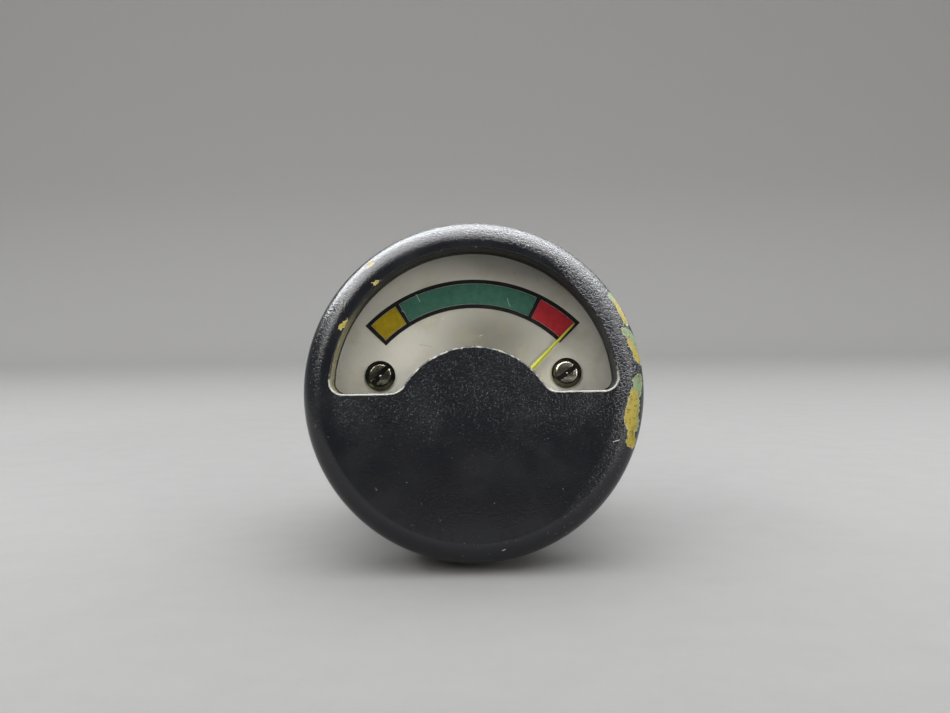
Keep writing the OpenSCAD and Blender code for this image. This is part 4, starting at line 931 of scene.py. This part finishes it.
def window_levels():
    """The window's edge, broken in front, then its wall to the back: how much wider, z, share of the edge's painted
    highlight and wear.
    """
    levels = [(EDGE_BREAK + 0.3, FACE_Z, 0.0), (EDGE_BREAK + 0.07, FACE_Z, 0.12)]
    levels += [(EDGE_BREAK * (1 - math.sin(turn)), FACE_Z - EDGE_BREAK * (1 - math.cos(turn)), 1.0)
               for turn in quarter(5)]
    return levels + [(0.0, FACE_Z - 0.3, 0.15), (0.0, FACE_Z - 0.6, 0.0), (0.0, 9.6, 0.0), (0.0, 8.8, 0.0),
                     (0.0, FACE_BACK_Z, 0.0)]


def flat_spots(rim, spacing, front):
    """Places spread over the flat of the face beside the window; in front, more of them above its arc."""
    above_arc_r, row_height, clear = 16.54, 0.866, 1.1
    spots = [polar(above_arc_r, math.radians(deg)) for deg in range(8, 173)] if front else []
    steps = range(-int(rim / spacing) - 1, int(rim / spacing) + 2)
    for x, y in (((ix + 0.5 * (iy % 2)) * spacing, iy * spacing * row_height) for iy in steps for ix in steps):
        in_window = y > SILL_Y - clear and math.hypot(x, y - PIVOT_Y) > HUMP_R - clear
        if math.hypot(x, y) <= rim - spacing * 0.6 and not in_window:
            spots.append((x, y))
    return spots


def make_front_cover():
    """The cover. Each point keeps four marks for the paint: chip, green film, edge highlight and wear, inside."""
    angles, rows = cover_angles(), cover_rows()
    points, marks = [], []
    for r, z, out in rows:
        turn = min(out / EDGE_R, math.pi / 2) if out < PAST_CHIPS else 0
        for a in angles:
            deep, film = (depth_inside(outlines, math.degrees(a), out) for outlines in (CHIPS, GREEN_FILMS))
            sink = 0.05 * max(0.0, min(1.0, deep / 0.07 + 0.5))
            points.append((*polar(r - sink * math.sin(turn), a), z - sink * math.cos(turn)))
            marks.append((deep, film, 0.0, float(r < 18.4 and 0.1 < z < 8.2)))
    wall = numbered(len(rows), len(angles))

    def chip_at(x, y, out):
        return depth_inside(CHIPS, math.degrees(math.atan2(y, x)), out)

    loops = []
    for grow, z, share in window_levels():
        loop = window_outline(grow)
        loops += numbered(1, len(loop), len(points))
        on_face = z > FACE_Z - EDGE_BREAK * 1.01
        for x, y, rubbed_and_lit in loop:
            r = math.hypot(x, y)
            out = r - FLAT_R if on_face else -0.8 - (FACE_Z - EDGE_BREAK - z)
            points.append((x, y, z))
            marks.append((chip_at(x, y, out) if r > WINDOW_R - 0.2 else -1.0, -1.0, rubbed_and_lit * share,
                          float(not on_face)))
    faces = bands(wall) + bands(loops)

    for loop, ring, z, spacing, front in ((loops[0], wall[0], FACE_Z, 1.3, True),
                                          (loops[-1], wall[-1], FACE_BACK_Z, 2.6, False)):
        spots = flat_spots(math.hypot(*points[ring[0]][:2]), spacing, front)
        where = [*loop, *ring, *range(len(points), len(points) + len(spots))]
        for face in fill_between([points[i] for i in loop], [points[i] for i in ring], spots):
            faces.append([where[i] for i in face])
        for x, y in spots:
            out = math.hypot(x, y) - FLAT_R
            points.append((x, y, z))
            marks.append((chip_at(x, y, out) if out > -0.9 and front else -1.0, -1.0, 0.0, float(not front)))

    cover = piece("cover_shell", points, faces, "case", ["front_cover"], "cover_paint", 50)
    for label, values in zip(("chip", "green", "worn_and_lit", "inner"), zip(*marks)):
        cover.data.attributes.new(label, "FLOAT", "POINT").data.foreach_set("value", values)


make_front_cover()


# ---------------------------------------------------------------- pointer and dial screws

def make_pointer():
    """The cranked blade with its ridge, and the ring on the stem."""
    stations = [(1.15, 3.1), (3.6, 3.1), (3.8, 3.12), (4.0, 3.2), (4.6, 3.72), (5.2, 4.28), (5.8, 4.84), (6.0, 4.96),
                (6.2, 5.0), (8.0, 5.0), (10.0, 5.0), (12.0, 5.0), (14.0, 5.0), (16.0, 5.0), (16.75, 5.0),
                (16.9, 4.98)]
    sections = []
    for along, level in stations:
        half = 0.33 if along < 8 else 0.33 + (0.085 - 0.33) * (along - 8) / 8.9
        if along > 16.8:
            half *= 0.6
        sections.append([(side, along, level + rise) for side, rise in (
            (-half, -0.1), (-half * 0.96, -0.05), (-0.03, 0.092), (0.0, 0.1), (0.03, 0.092), (half * 0.96, -0.05),
            (half, -0.1))])
    hub = turned(rounded([(0.9, 2.95, 0.04), (1.5, 2.95, 0.06), (1.5, 3.25, 0.06), (0.9, 3.25, 0.04)], 2), even(40))
    points, faces = joined(swept(sections), hub)
    piece("pointer_blade", leaned(points), faces, "moving_element", ["pointer"], "pointer_lime", 20)


make_pointer()


def make_dial_screws():
    """Two polished screws: a steep shoulder round a low dome, a flat-bottomed slot and a plain shank."""
    top, dome_r, rise, slot_z, pip_r = 5.0, 1.08, 0.1, 4.5, 0.16
    head = rounded([(0.6, 4.1, 0), (1.75, 4.1, 0.05), (1.75, 4.4, 0.12), (1.29, 4.85, 0.35), (1.12, 4.895, 0)], 6)
    tilt = 2 * math.atan(rise / dome_r)
    dome = [(dome_r * math.sin(tilt * k / 10) / math.sin(tilt),
             top - rise * (1 - math.cos(tilt * k / 10)) / (1 - math.cos(tilt))) for k in range(10, 0, -1)]
    profile = [(0, 2.2), (0.5, 2.2), (0.6, 2.3)] + head + dome + [(0, top)]
    for name, x, turn_deg in (("dial_screw_left", -DIAL_SCREW_AT[0], 50),
                              ("dial_screw_right", DIAL_SCREW_AT[0], 35)):
        at = (x, DIAL_SCREW_AT[1])
        screw = solid(name, *turned(profile, even(72), at))
        cut(screw, solid("slot", *slab(-3, 3, -0.3, 0.3, slot_z, 6, at, turn_deg)))
        edges_broken(screw, 0.04, 50)
        pip = [(0, slot_z - 0.05), (pip_r, slot_z - 0.05)]
        pip += [polar(pip_r, a, (0, slot_z)) for a in quarter(5)[:-1]] + [(0, slot_z + pip_r)]
        cut(screw, solid("pip", *turned(pip, even(20), at)), "UNION")
        yield screw


settle(join("dial_screw_pair", list(make_dial_screws())), "case", ["dial_screws"], "dial_screw", 30)


def make_colour_fields():
    """The three printed fields, each a hair short of the black outline."""
    for name, node, start, end in (("field_cold", "band_yellow", -43.81, -31.96),
                                   ("field_normal", "band_green", -30.04, 26.24),
                                   ("field_hot", "band_red", 28.16, 43.81)):
        steps = math.ceil((end - start) / 0.8)
        sections = []
        for k in range(steps + 1):
            turn = math.radians(start + (end - start) * k / steps)
            sections.append([(r * math.sin(turn), PIVOT_Y + r * math.cos(turn), z)
                             for r, z in ((14.645, 4.1), (17.005, 4.1), (17.005, 4.15), (14.645, 4.15))])
        piece(name, *swept(sections), "case", [node], finish_of_node[node], 30)


make_colour_fields()


def make_gasket():
    """Rubber sheet between cover and glass; its edge shows as a thin black line round the window."""
    loop = [(x, y) for x, y, _ in window_outline(-0.14)]
    ring = [polar(18, a) for a in even(160)]
    count, rim = len(loop), len(loop + ring)
    points = [(x, y, z) for z in (7.6, FACE_BACK_Z) for x, y in loop + ring]
    flat = fill_between(loop, ring, [])
    faces = [list(face)[::-1] for face in flat] + [[i + rim for i in face] for face in flat]
    faces += bands([range(count), range(rim, rim + count)]) + bands([range(count, rim), range(rim + count, 2 * rim)])
    piece("gasket_sheet", points, faces, "case", ["window_gasket"], "seal_rubber", 40)


make_gasket()


# ---------------------------------------------------------------- case and rear

def make_case():
    """Cup, flange and barrel in one drawn piece, its rear edge rolled over the rear cover."""
    profile = rounded([
        (BARREL_R, BARREL_END_Z, 0.45), (BARREL_R, 0.6, 0.3), (CUP_R, 0.6, 0.35), (CUP_R, 3.15, 0.0),
        (17.23, 3.15, 0.1), (17.23, 4.05, 0.1), (CUP_R, 4.05, 0.0), (CUP_R, 5.2, 0.25), (16.8, 5.2, 0.25),
        (16.8, 2.0, 0.15), (14.875, 2.0, 0.25), (14.875, -23.39, 0.0), (15.325, -23.39, 0.0),
        (15.325, -26.5, 0.1), (14.525, -26.5, 0.08), (14.525, BARREL_END_Z, 0.2)], 4)
    case = solid("case_shell", *turned(profile, even(192)))
    for deg in (210, 270, 330):
        cut(case, solid("hole", *rod(0.52, 0.88, 3.0, polar(15.8, math.radians(deg)), 32)))
    settle(case, "case", ["case_body"], "case_paint", 30)


def make_rear_cover():
    """Moulded disc with an island and a barrier between the terminals, the island and the barrier drawn with draft.
    """
    body = solid("rear_moulding", *turned(rounded([
        (0, -23.8, 0), (15.275, -23.8, 0.1), (15.275, -26.5, 0.3), (12.25, -26.5, 0.3), (12.0, REAR_Z, 0.35),
        (0, REAR_Z, 0)]), even(160)))
    wall = []
    for z, half, reach in ((-27.6, 0.95, 11.75), (-31.0, 0.8, 11.6)):
        ends = [(half * math.sin(turn), reach - 0.3 * (1 - math.cos(turn))) for turn in quarter(3)]
        right = ends + [(x, -y) for x, y in ends[::-1]]
        left = [(-x, -y) for x, y in ends[1:]] + [(-x, y) for x, y in ends[:0:-1]]
        wall.append([(x, y, z) for x, y in right + left])
    cut(body, edges_broken(solid("barrier", *swept(wall)), 0.22, 50, 3), "UNION")
    for side in (-1, 1):
        at = (side * STUD_X, 0)
        boss = rounded([(0, -27.5, 0), (4.25, -27.5, 0), (4.25, -28.12, 0.1), (3.95, -28.12, 0.1),
                        (3.95, -27.98, 0.0), (0, -27.98, 0)], 3)
        cut(body, solid("boss", *turned(boss, even(64), at)), "UNION")
        cut(body, solid("bore", *rod(STUD_BORE_R, -29, -22, at)))
    settle(body, "case", ["rear_cover"], "phenolic", 32)


def nut(name, low, high, bore):
    """A hexagon nut or head, its corners taken off by a cone at both ends."""
    across, bevel = 6.35, 0.42
    corner = across / 2 / math.cos(math.pi / 6)

    def reach(r, z, a):
        if r < corner - 1:
            return r, z
        flat = across / 2 / math.cos((a + math.pi / 6) % (math.pi / 3) - math.pi / 6)
        flat = min(flat, corner - 0.05)
        drop = max(0.0, flat - (corner - bevel)) * 0.62
        if z in (low, high):
            return min(flat, corner - bevel), z
        return flat, (low + drop if z < (low + high) / 2 else high - drop)
    outline = [(corner, low), (corner, low + 0.1), (corner, high - 0.1), (corner, high)]
    if bore:
        outline = [(bore, low + 0.14), (bore + 0.14, low)] + outline + [(bore + 0.14, high), (bore, high - 0.14)]
    else:
        outline = [(0, low)] + outline + [(0, high)]
    return solid(name, *turned(outline, even(96), reach=reach))


def make_stud(name):
    """One terminal stud: hexagon head inside, then a rolled thread with a plain groove and a chamfered end."""
    pitch, depth, end_r, thread_z = 0.6, 0.26, 1.35, -27.0
    rows, z = [(0, -23.38), (STUD_R, -23.38)], -23.6
    while z > STUD_END_Z:
        rows.append((STUD_R, z))
        z -= 0.05
    rows += [(end_r, STUD_END_Z), (0, STUD_END_Z)]

    def reach(r, z, a):
        if r < 1.5 or z > thread_z:
            return r, z
        if NUT_Z - 0.8 < z < NUT_Z:
            return 1.55, z
        turn = (-z / pitch + a / TAU) % 1.0
        cut_in = depth * max(0.0, min(1.0, 1.25 - abs(turn - 0.5) * 3.6))
        fade = min(1.0, (thread_z - z) / pitch)
        return min(STUD_R - cut_in * fade, end_r + max(0.0, z - STUD_END_Z)), z
    shank = solid(name + "_shank", *turned(rows, even(56), reach=reach))
    return join(name, [shank, nut(name + "_head", -23.4, -21.9, 0)])


def split_washer(low, high, inner, outer):
    """A flat spring ring with a slanted split."""
    mouth, gap, slant, rings = math.radians(60), 0.5, 0.05, 72
    profile = rounded([(inner, low, 0.08), (outer, low, 0.12), (outer, high, 0.12), (inner, high, 0.08)], 3)
    sections = []
    for k in range(rings + 1):
        section = []
        for r, z in profile:
            opening = math.asin(gap / 2 / r)
            start = mouth + (opening + slant * (z - (low + high) / 2) / (high - low))
            section.append((*polar(r, start + (TAU - 2 * opening) * k / rings), z))
        sections.append(section)
    return solid("lock_washer", *swept(sections))


def make_terminals():
    """The studs and what sits on them, drawn once and set twice on the rear."""
    washer = turned(rounded([(STUD_BORE_R, WASHER_Z, 0.06), (3.8, WASHER_Z, 0.14), (3.8, REAR_Z, 0.14),
                             (STUD_BORE_R, REAR_Z, 0.06)], 3), even(72))
    for name, single, node in (
            ("terminal_stud_pair", make_stud("stud"), "terminal_studs"),
            ("washer_pair", solid("washer", *washer), "terminal_washers"),
            ("fixing_nut_pair", nut("nut", FIXING_NUT_Z, WASHER_Z, STUD_BORE_R), "fixing_nuts"),
            ("lock_washer_pair", split_washer(LOCK_WASHER_Z, FIXING_NUT_Z, STUD_BORE_R, 3.2), "lock_washers"),
            ("terminal_nut_pair", nut("nut", NUT_Z, LOCK_WASHER_Z, STUD_BORE_R), "terminal_nuts")):
        single.name, finish = name, finish_of_node[node]
        run_recipe(row_recipe, single, finish, Count=2, First=placed(-STUD_X, 0, 0), Step=placed(2 * STUD_X, 0, 0))
        settle(single, "case", [node], finish, 28)


make_case()
make_rear_cover()
make_terminals()


# ---------------------------------------------------------------- wound wire and leads

def make_resistor_turns():
    """The series resistor's outer layer, turn beside turn on the lower layers."""
    middle = 10.2
    core = solid("resistor_turns", *turned([(1.3, -5.88), (2.12, -5.88), (2.12, 1.38), (1.3, 1.38)], even(56),
                                           (0, middle)))
    run_recipe(spool_recipe, core, "resistance_wire", Turns=35.0, Radius=2.19 * MM, Length=7.04 * MM,
               Wire=0.1 * MM, Place=placed(0, middle, 1.28))
    settle(core, "case", ["resistor_winding"], "resistance_wire")


def make_coil_turns():
    """The coil's outer layer of enamelled wire over the lower ones, leaning with the pointer."""
    reach, width, wire, count = 5.849, 2.5, 0.075, 16
    top, bottom = 0.599, -11.599
    lean = math.radians(POINTER_LEAN_DEG)

    def window(half, low, high):
        return [(-half, low), (half, low), (half, high), (-half, high)]
    outer = window(reach - 1.6 * wire, bottom + 1.6 * wire, top - 1.6 * wire)
    inner = window(5.051, -10.799, -0.201)
    points = leaned([(x, y, z) for y in (-width / 2, width / 2) for x, z in outer + inner])
    near_outer, near_inner, far_outer, far_inner = numbered(4, 4)
    core = solid("coil_turns", points, bands([near_outer, near_inner, far_inner, far_outer, near_outer]))
    along = Vector((math.sin(lean), 0, math.cos(lean)))
    first = Vector(placed(0, PIVOT_Y, (top + bottom) / 2)) - along * (width / 2 - wire) * MM
    run_recipe(frame_recipe, core, "coil_copper", Width=2 * (reach - wire) * MM,
               Height=(top - bottom - 2 * wire) * MM, Corner=0.3 * MM, Wire=wire * MM, Count=count, First=first,
               Step=along * (width - 2 * wire) / (count - 1) * MM, Turn=(0.0, lean, 0.0))
    settle(core, "moving_element", ["coil_winding"], "coil_copper")


def make_leads():
    """Three sleeved wires: left terminal to resistor, resistor to front spring, right terminal to rear spring."""
    lug, front, rear = -23.4, 5.2, -15.2
    paths = [
        [(-6.5, 4.6, lug), (-6.5, 4.6, lug + 1), (-6.4, 5.2, -20.5), (-6, 6.6, -18), (-5.2, 8, -15), (-4, 9.2, -12.5),
         (-2.8, 10, -10.5), (-1.9, 10.2, -8.5), (-1.9, 10.2, -6.5)],
        [(1.9, 10.2, -6.5), (2.1, 10.2, -7.8), (3.2, 10.2, -8.8), (4.8, 10.2, -8.6), (6.4, 9.7, -7.2), (8.2, 8.6, -5),
         (10, 6.4, -3), (11.3, 3.4, -1.4), (12, 0, -0.5), (12.3, -3, 0), (12.39, -5.2, 0.8), (12.3, -6, 2),
         (12.3, -6, 3.4), (12.2, -5.9, 4.4), (11.7, -5.4, front - 0.1), (10.9, -4.8, front + 0.3),
         (9.65, PIVOT_Y, front + 0.3)],
        [(6.5, 4.6, lug), (6.5, 4.6, lug + 1), (6.8, 4.2, -20.4), (7.6, 2.6, -19), (8.6, 0.4, -18),
         (9.5, -1.8, -17.2), (10.1, -3.4, -16.4), (9.75, PIVOT_Y, rear - 0.3), (9.45, PIVOT_Y - 0.3, rear - 0.3)]]
    points, edges = [], []
    for path in paths:
        edges += [(len(points) + i, len(points) + i + 1) for i in range(len(path) - 1)]
        points += [placed(*point) for point in path]
    mesh = bpy.data.meshes.new("lead_runs")
    mesh.from_pydata(points, edges, [])
    leads = put("lead_runs", mesh)
    run_recipe(path_recipe, leads, "wire_insulation", Wire=0.295 * MM)
    settle(leads, "case", ["lead_wires"], "wire_insulation")


make_resistor_turns()
make_coil_turns()
make_leads()


# ---------------------------------------------------------------- camera, floor and light

def look_from(place, yaw_deg, pitch_deg, roll_deg):
    """The photo's camera: its place in millimetres and the way it looks."""
    yaw, pitch, roll = (math.radians(v) for v in (yaw_deg, pitch_deg, roll_deg))
    ahead = Vector((math.sin(yaw) * math.cos(pitch), math.cos(yaw) * math.cos(pitch), math.sin(pitch)))
    right = Vector((math.cos(yaw), -math.sin(yaw), 0))
    up = right.cross(ahead)
    right, up = (right * math.cos(roll) + up * math.sin(roll), up * math.cos(roll) - right * math.sin(roll))
    data = bpy.data.cameras.new("camera")
    data.lens, data.sensor_width = FOCAL_PX / PHOTO_WIDTH_PX * SENSOR_MM, SENSOR_MM
    data.sensor_fit = "HORIZONTAL"
    data.clip_start, data.clip_end = 0.002, 20.0
    camera = put("camera", data)
    turn = Matrix((right, up, -ahead)).transposed().to_4x4()
    camera.matrix_world = Matrix.Translation(Vector(place) * MM) @ turn
    bpy.context.scene.camera = camera


look_from((-0.496, -110.71, -3.937), 0.385, 4.374, -0.937)


def make_stage():
    """A pale floor that the gauge leans back on, swept up behind."""
    slope = (COVER_R - BARREL_R) / -BARREL_END_Z
    section = [(y, -COVER_R + slope * y) for y in (-6000.0, -900.0, -300.0, -100.0, 0.0, 100.0, 300.0, 520.0)]
    for k in range(1, 13):
        section.append(polar(20, math.radians(6.7 + 83.3 * k / 12), section[-1]))
    section.append((section[-1][0], section[-1][1] + 900))
    points = [(side, y * MM, z * MM) for y, z in section for side in (-6.0, 6.0)]
    mesh = bpy.data.meshes.new("floor")
    mesh.from_pydata(points, [], [(k, k + 1, k + 3, k + 2) for k in range(0, len(points) - 2, 2)])
    mesh.polygons.foreach_set("use_smooth", [True] * len(mesh.polygons))
    board = Finish("floor", (140, 139, 137))
    board.lay(board.grain(6.0), (132, 131, 129))
    board.lay(board.part("Y").step(0.1, 0.6), (168, 167, 165))
    mesh.materials.append(board.done(Roughness=0.9))
    put("floor", mesh)


def panel_light(name, place, aim, size, power, tint, matt=True):
    """A flat lamp that the camera doesn't see. Where it isn't matt, only sheens show it."""
    data = bpy.data.lights.new(name, "AREA")
    data.shape, data.size, data.size_y = "RECTANGLE", size[0], size[1]
    data.energy, data.color = power, tint
    light = put(name, data)
    light.location = place
    light.visible_camera = False
    light.visible_diffuse = matt
    light.rotation_euler = (Vector(aim) - Vector(place)).to_track_quat("-Z", "Y").to_euler()


make_stage()
panel_light("tube at left", (-0.55, -0.20, 0.48), (0, 0, 0), (0.52, 0.03), 1.0, (0.97, 0.98, 1.0))
panel_light("left front", (-0.45, -0.62, 0.32), (0, 0, 0), (0.35, 0.25), 1.9, (1.0, 0.985, 0.95))
panel_light("right front", (0.48, -0.60, 0.12), (0, 0, 0), (0.35, 0.35), 2.45, (1.0, 0.99, 0.96))
panel_light("sheen above", (-0.03, 0.083, 0.39), (-0.03, 0, 0), (1.2, 0.32), 15.0, (0.95, 0.975, 1.0), matt=False)
panel_light("sheen in front", (0.0, -0.206, 0.343), (0, 0, 0), (1.0, 0.31), 7.0, (0.98, 0.985, 1.0), matt=False)

# the sky round the object, from level in front of it, over the top, to level behind it: degrees, brightness
SKY = [(0, 0.15), (14, 0.22), (25, 0.65), (35, 1.1), (50, 1.25), (65, 1.3), (80, 1.35), (110, 1.2), (125, 0.9),
       (150, 0.6), (180, 0.4)]
SKY_TOP = 1.35


def make_world():
    """A plain studio: bright overhead, dim at the sides and where the camera stands."""
    world = bpy.data.worlds.new("studio")
    bpy.context.scene.world = world
    world.use_nodes = True
    tree = world.node_tree
    way = add(tree, "SeparateXYZ", {0: add(tree, "TexCoord").outputs["Generated"]}).outputs
    across, near, high = Measure(tree, way["X"]), Measure(tree, way["Y"]) * -1.0, Measure(tree, way["Z"])
    sky = add(tree, "ValToRGB", {0: high.at_least(0.0).combine("ARCTAN2", near) / math.pi})
    stops = sky.color_ramp.elements
    while len(stops) < len(SKY):
        stops.new(0.5)
    for stop, (deg, _) in zip(stops, SKY):
        stop.position = deg / 180
    for stop, (_, level) in zip(stops, SKY):
        stop.color = (level / SKY_TOP * 0.98, level / SKY_TOP * 0.99, level / SKY_TOP, 1)
    shade = sky.outputs["Color"]
    for share, tone in ((abs(across).step(0.75, 0.98), (0.28, 0.28, 0.285, 1)),
                        ((across * -1.0).step(0.15, 0.55) * 0.85, (0.09, 0.09, 0.092, 1)),
                        (near.step(0.86, 0.99), (0.055, 0.055, 0.057, 1))):
        shade = mixed(tree, share, shade, tone)
    background = tree.nodes["Background"]
    connect(tree, shade, background.inputs["Color"])
    background.inputs["Strength"].default_value = SKY_TOP


make_world()

scene = bpy.context.scene
scene.view_settings.view_transform = "Standard"
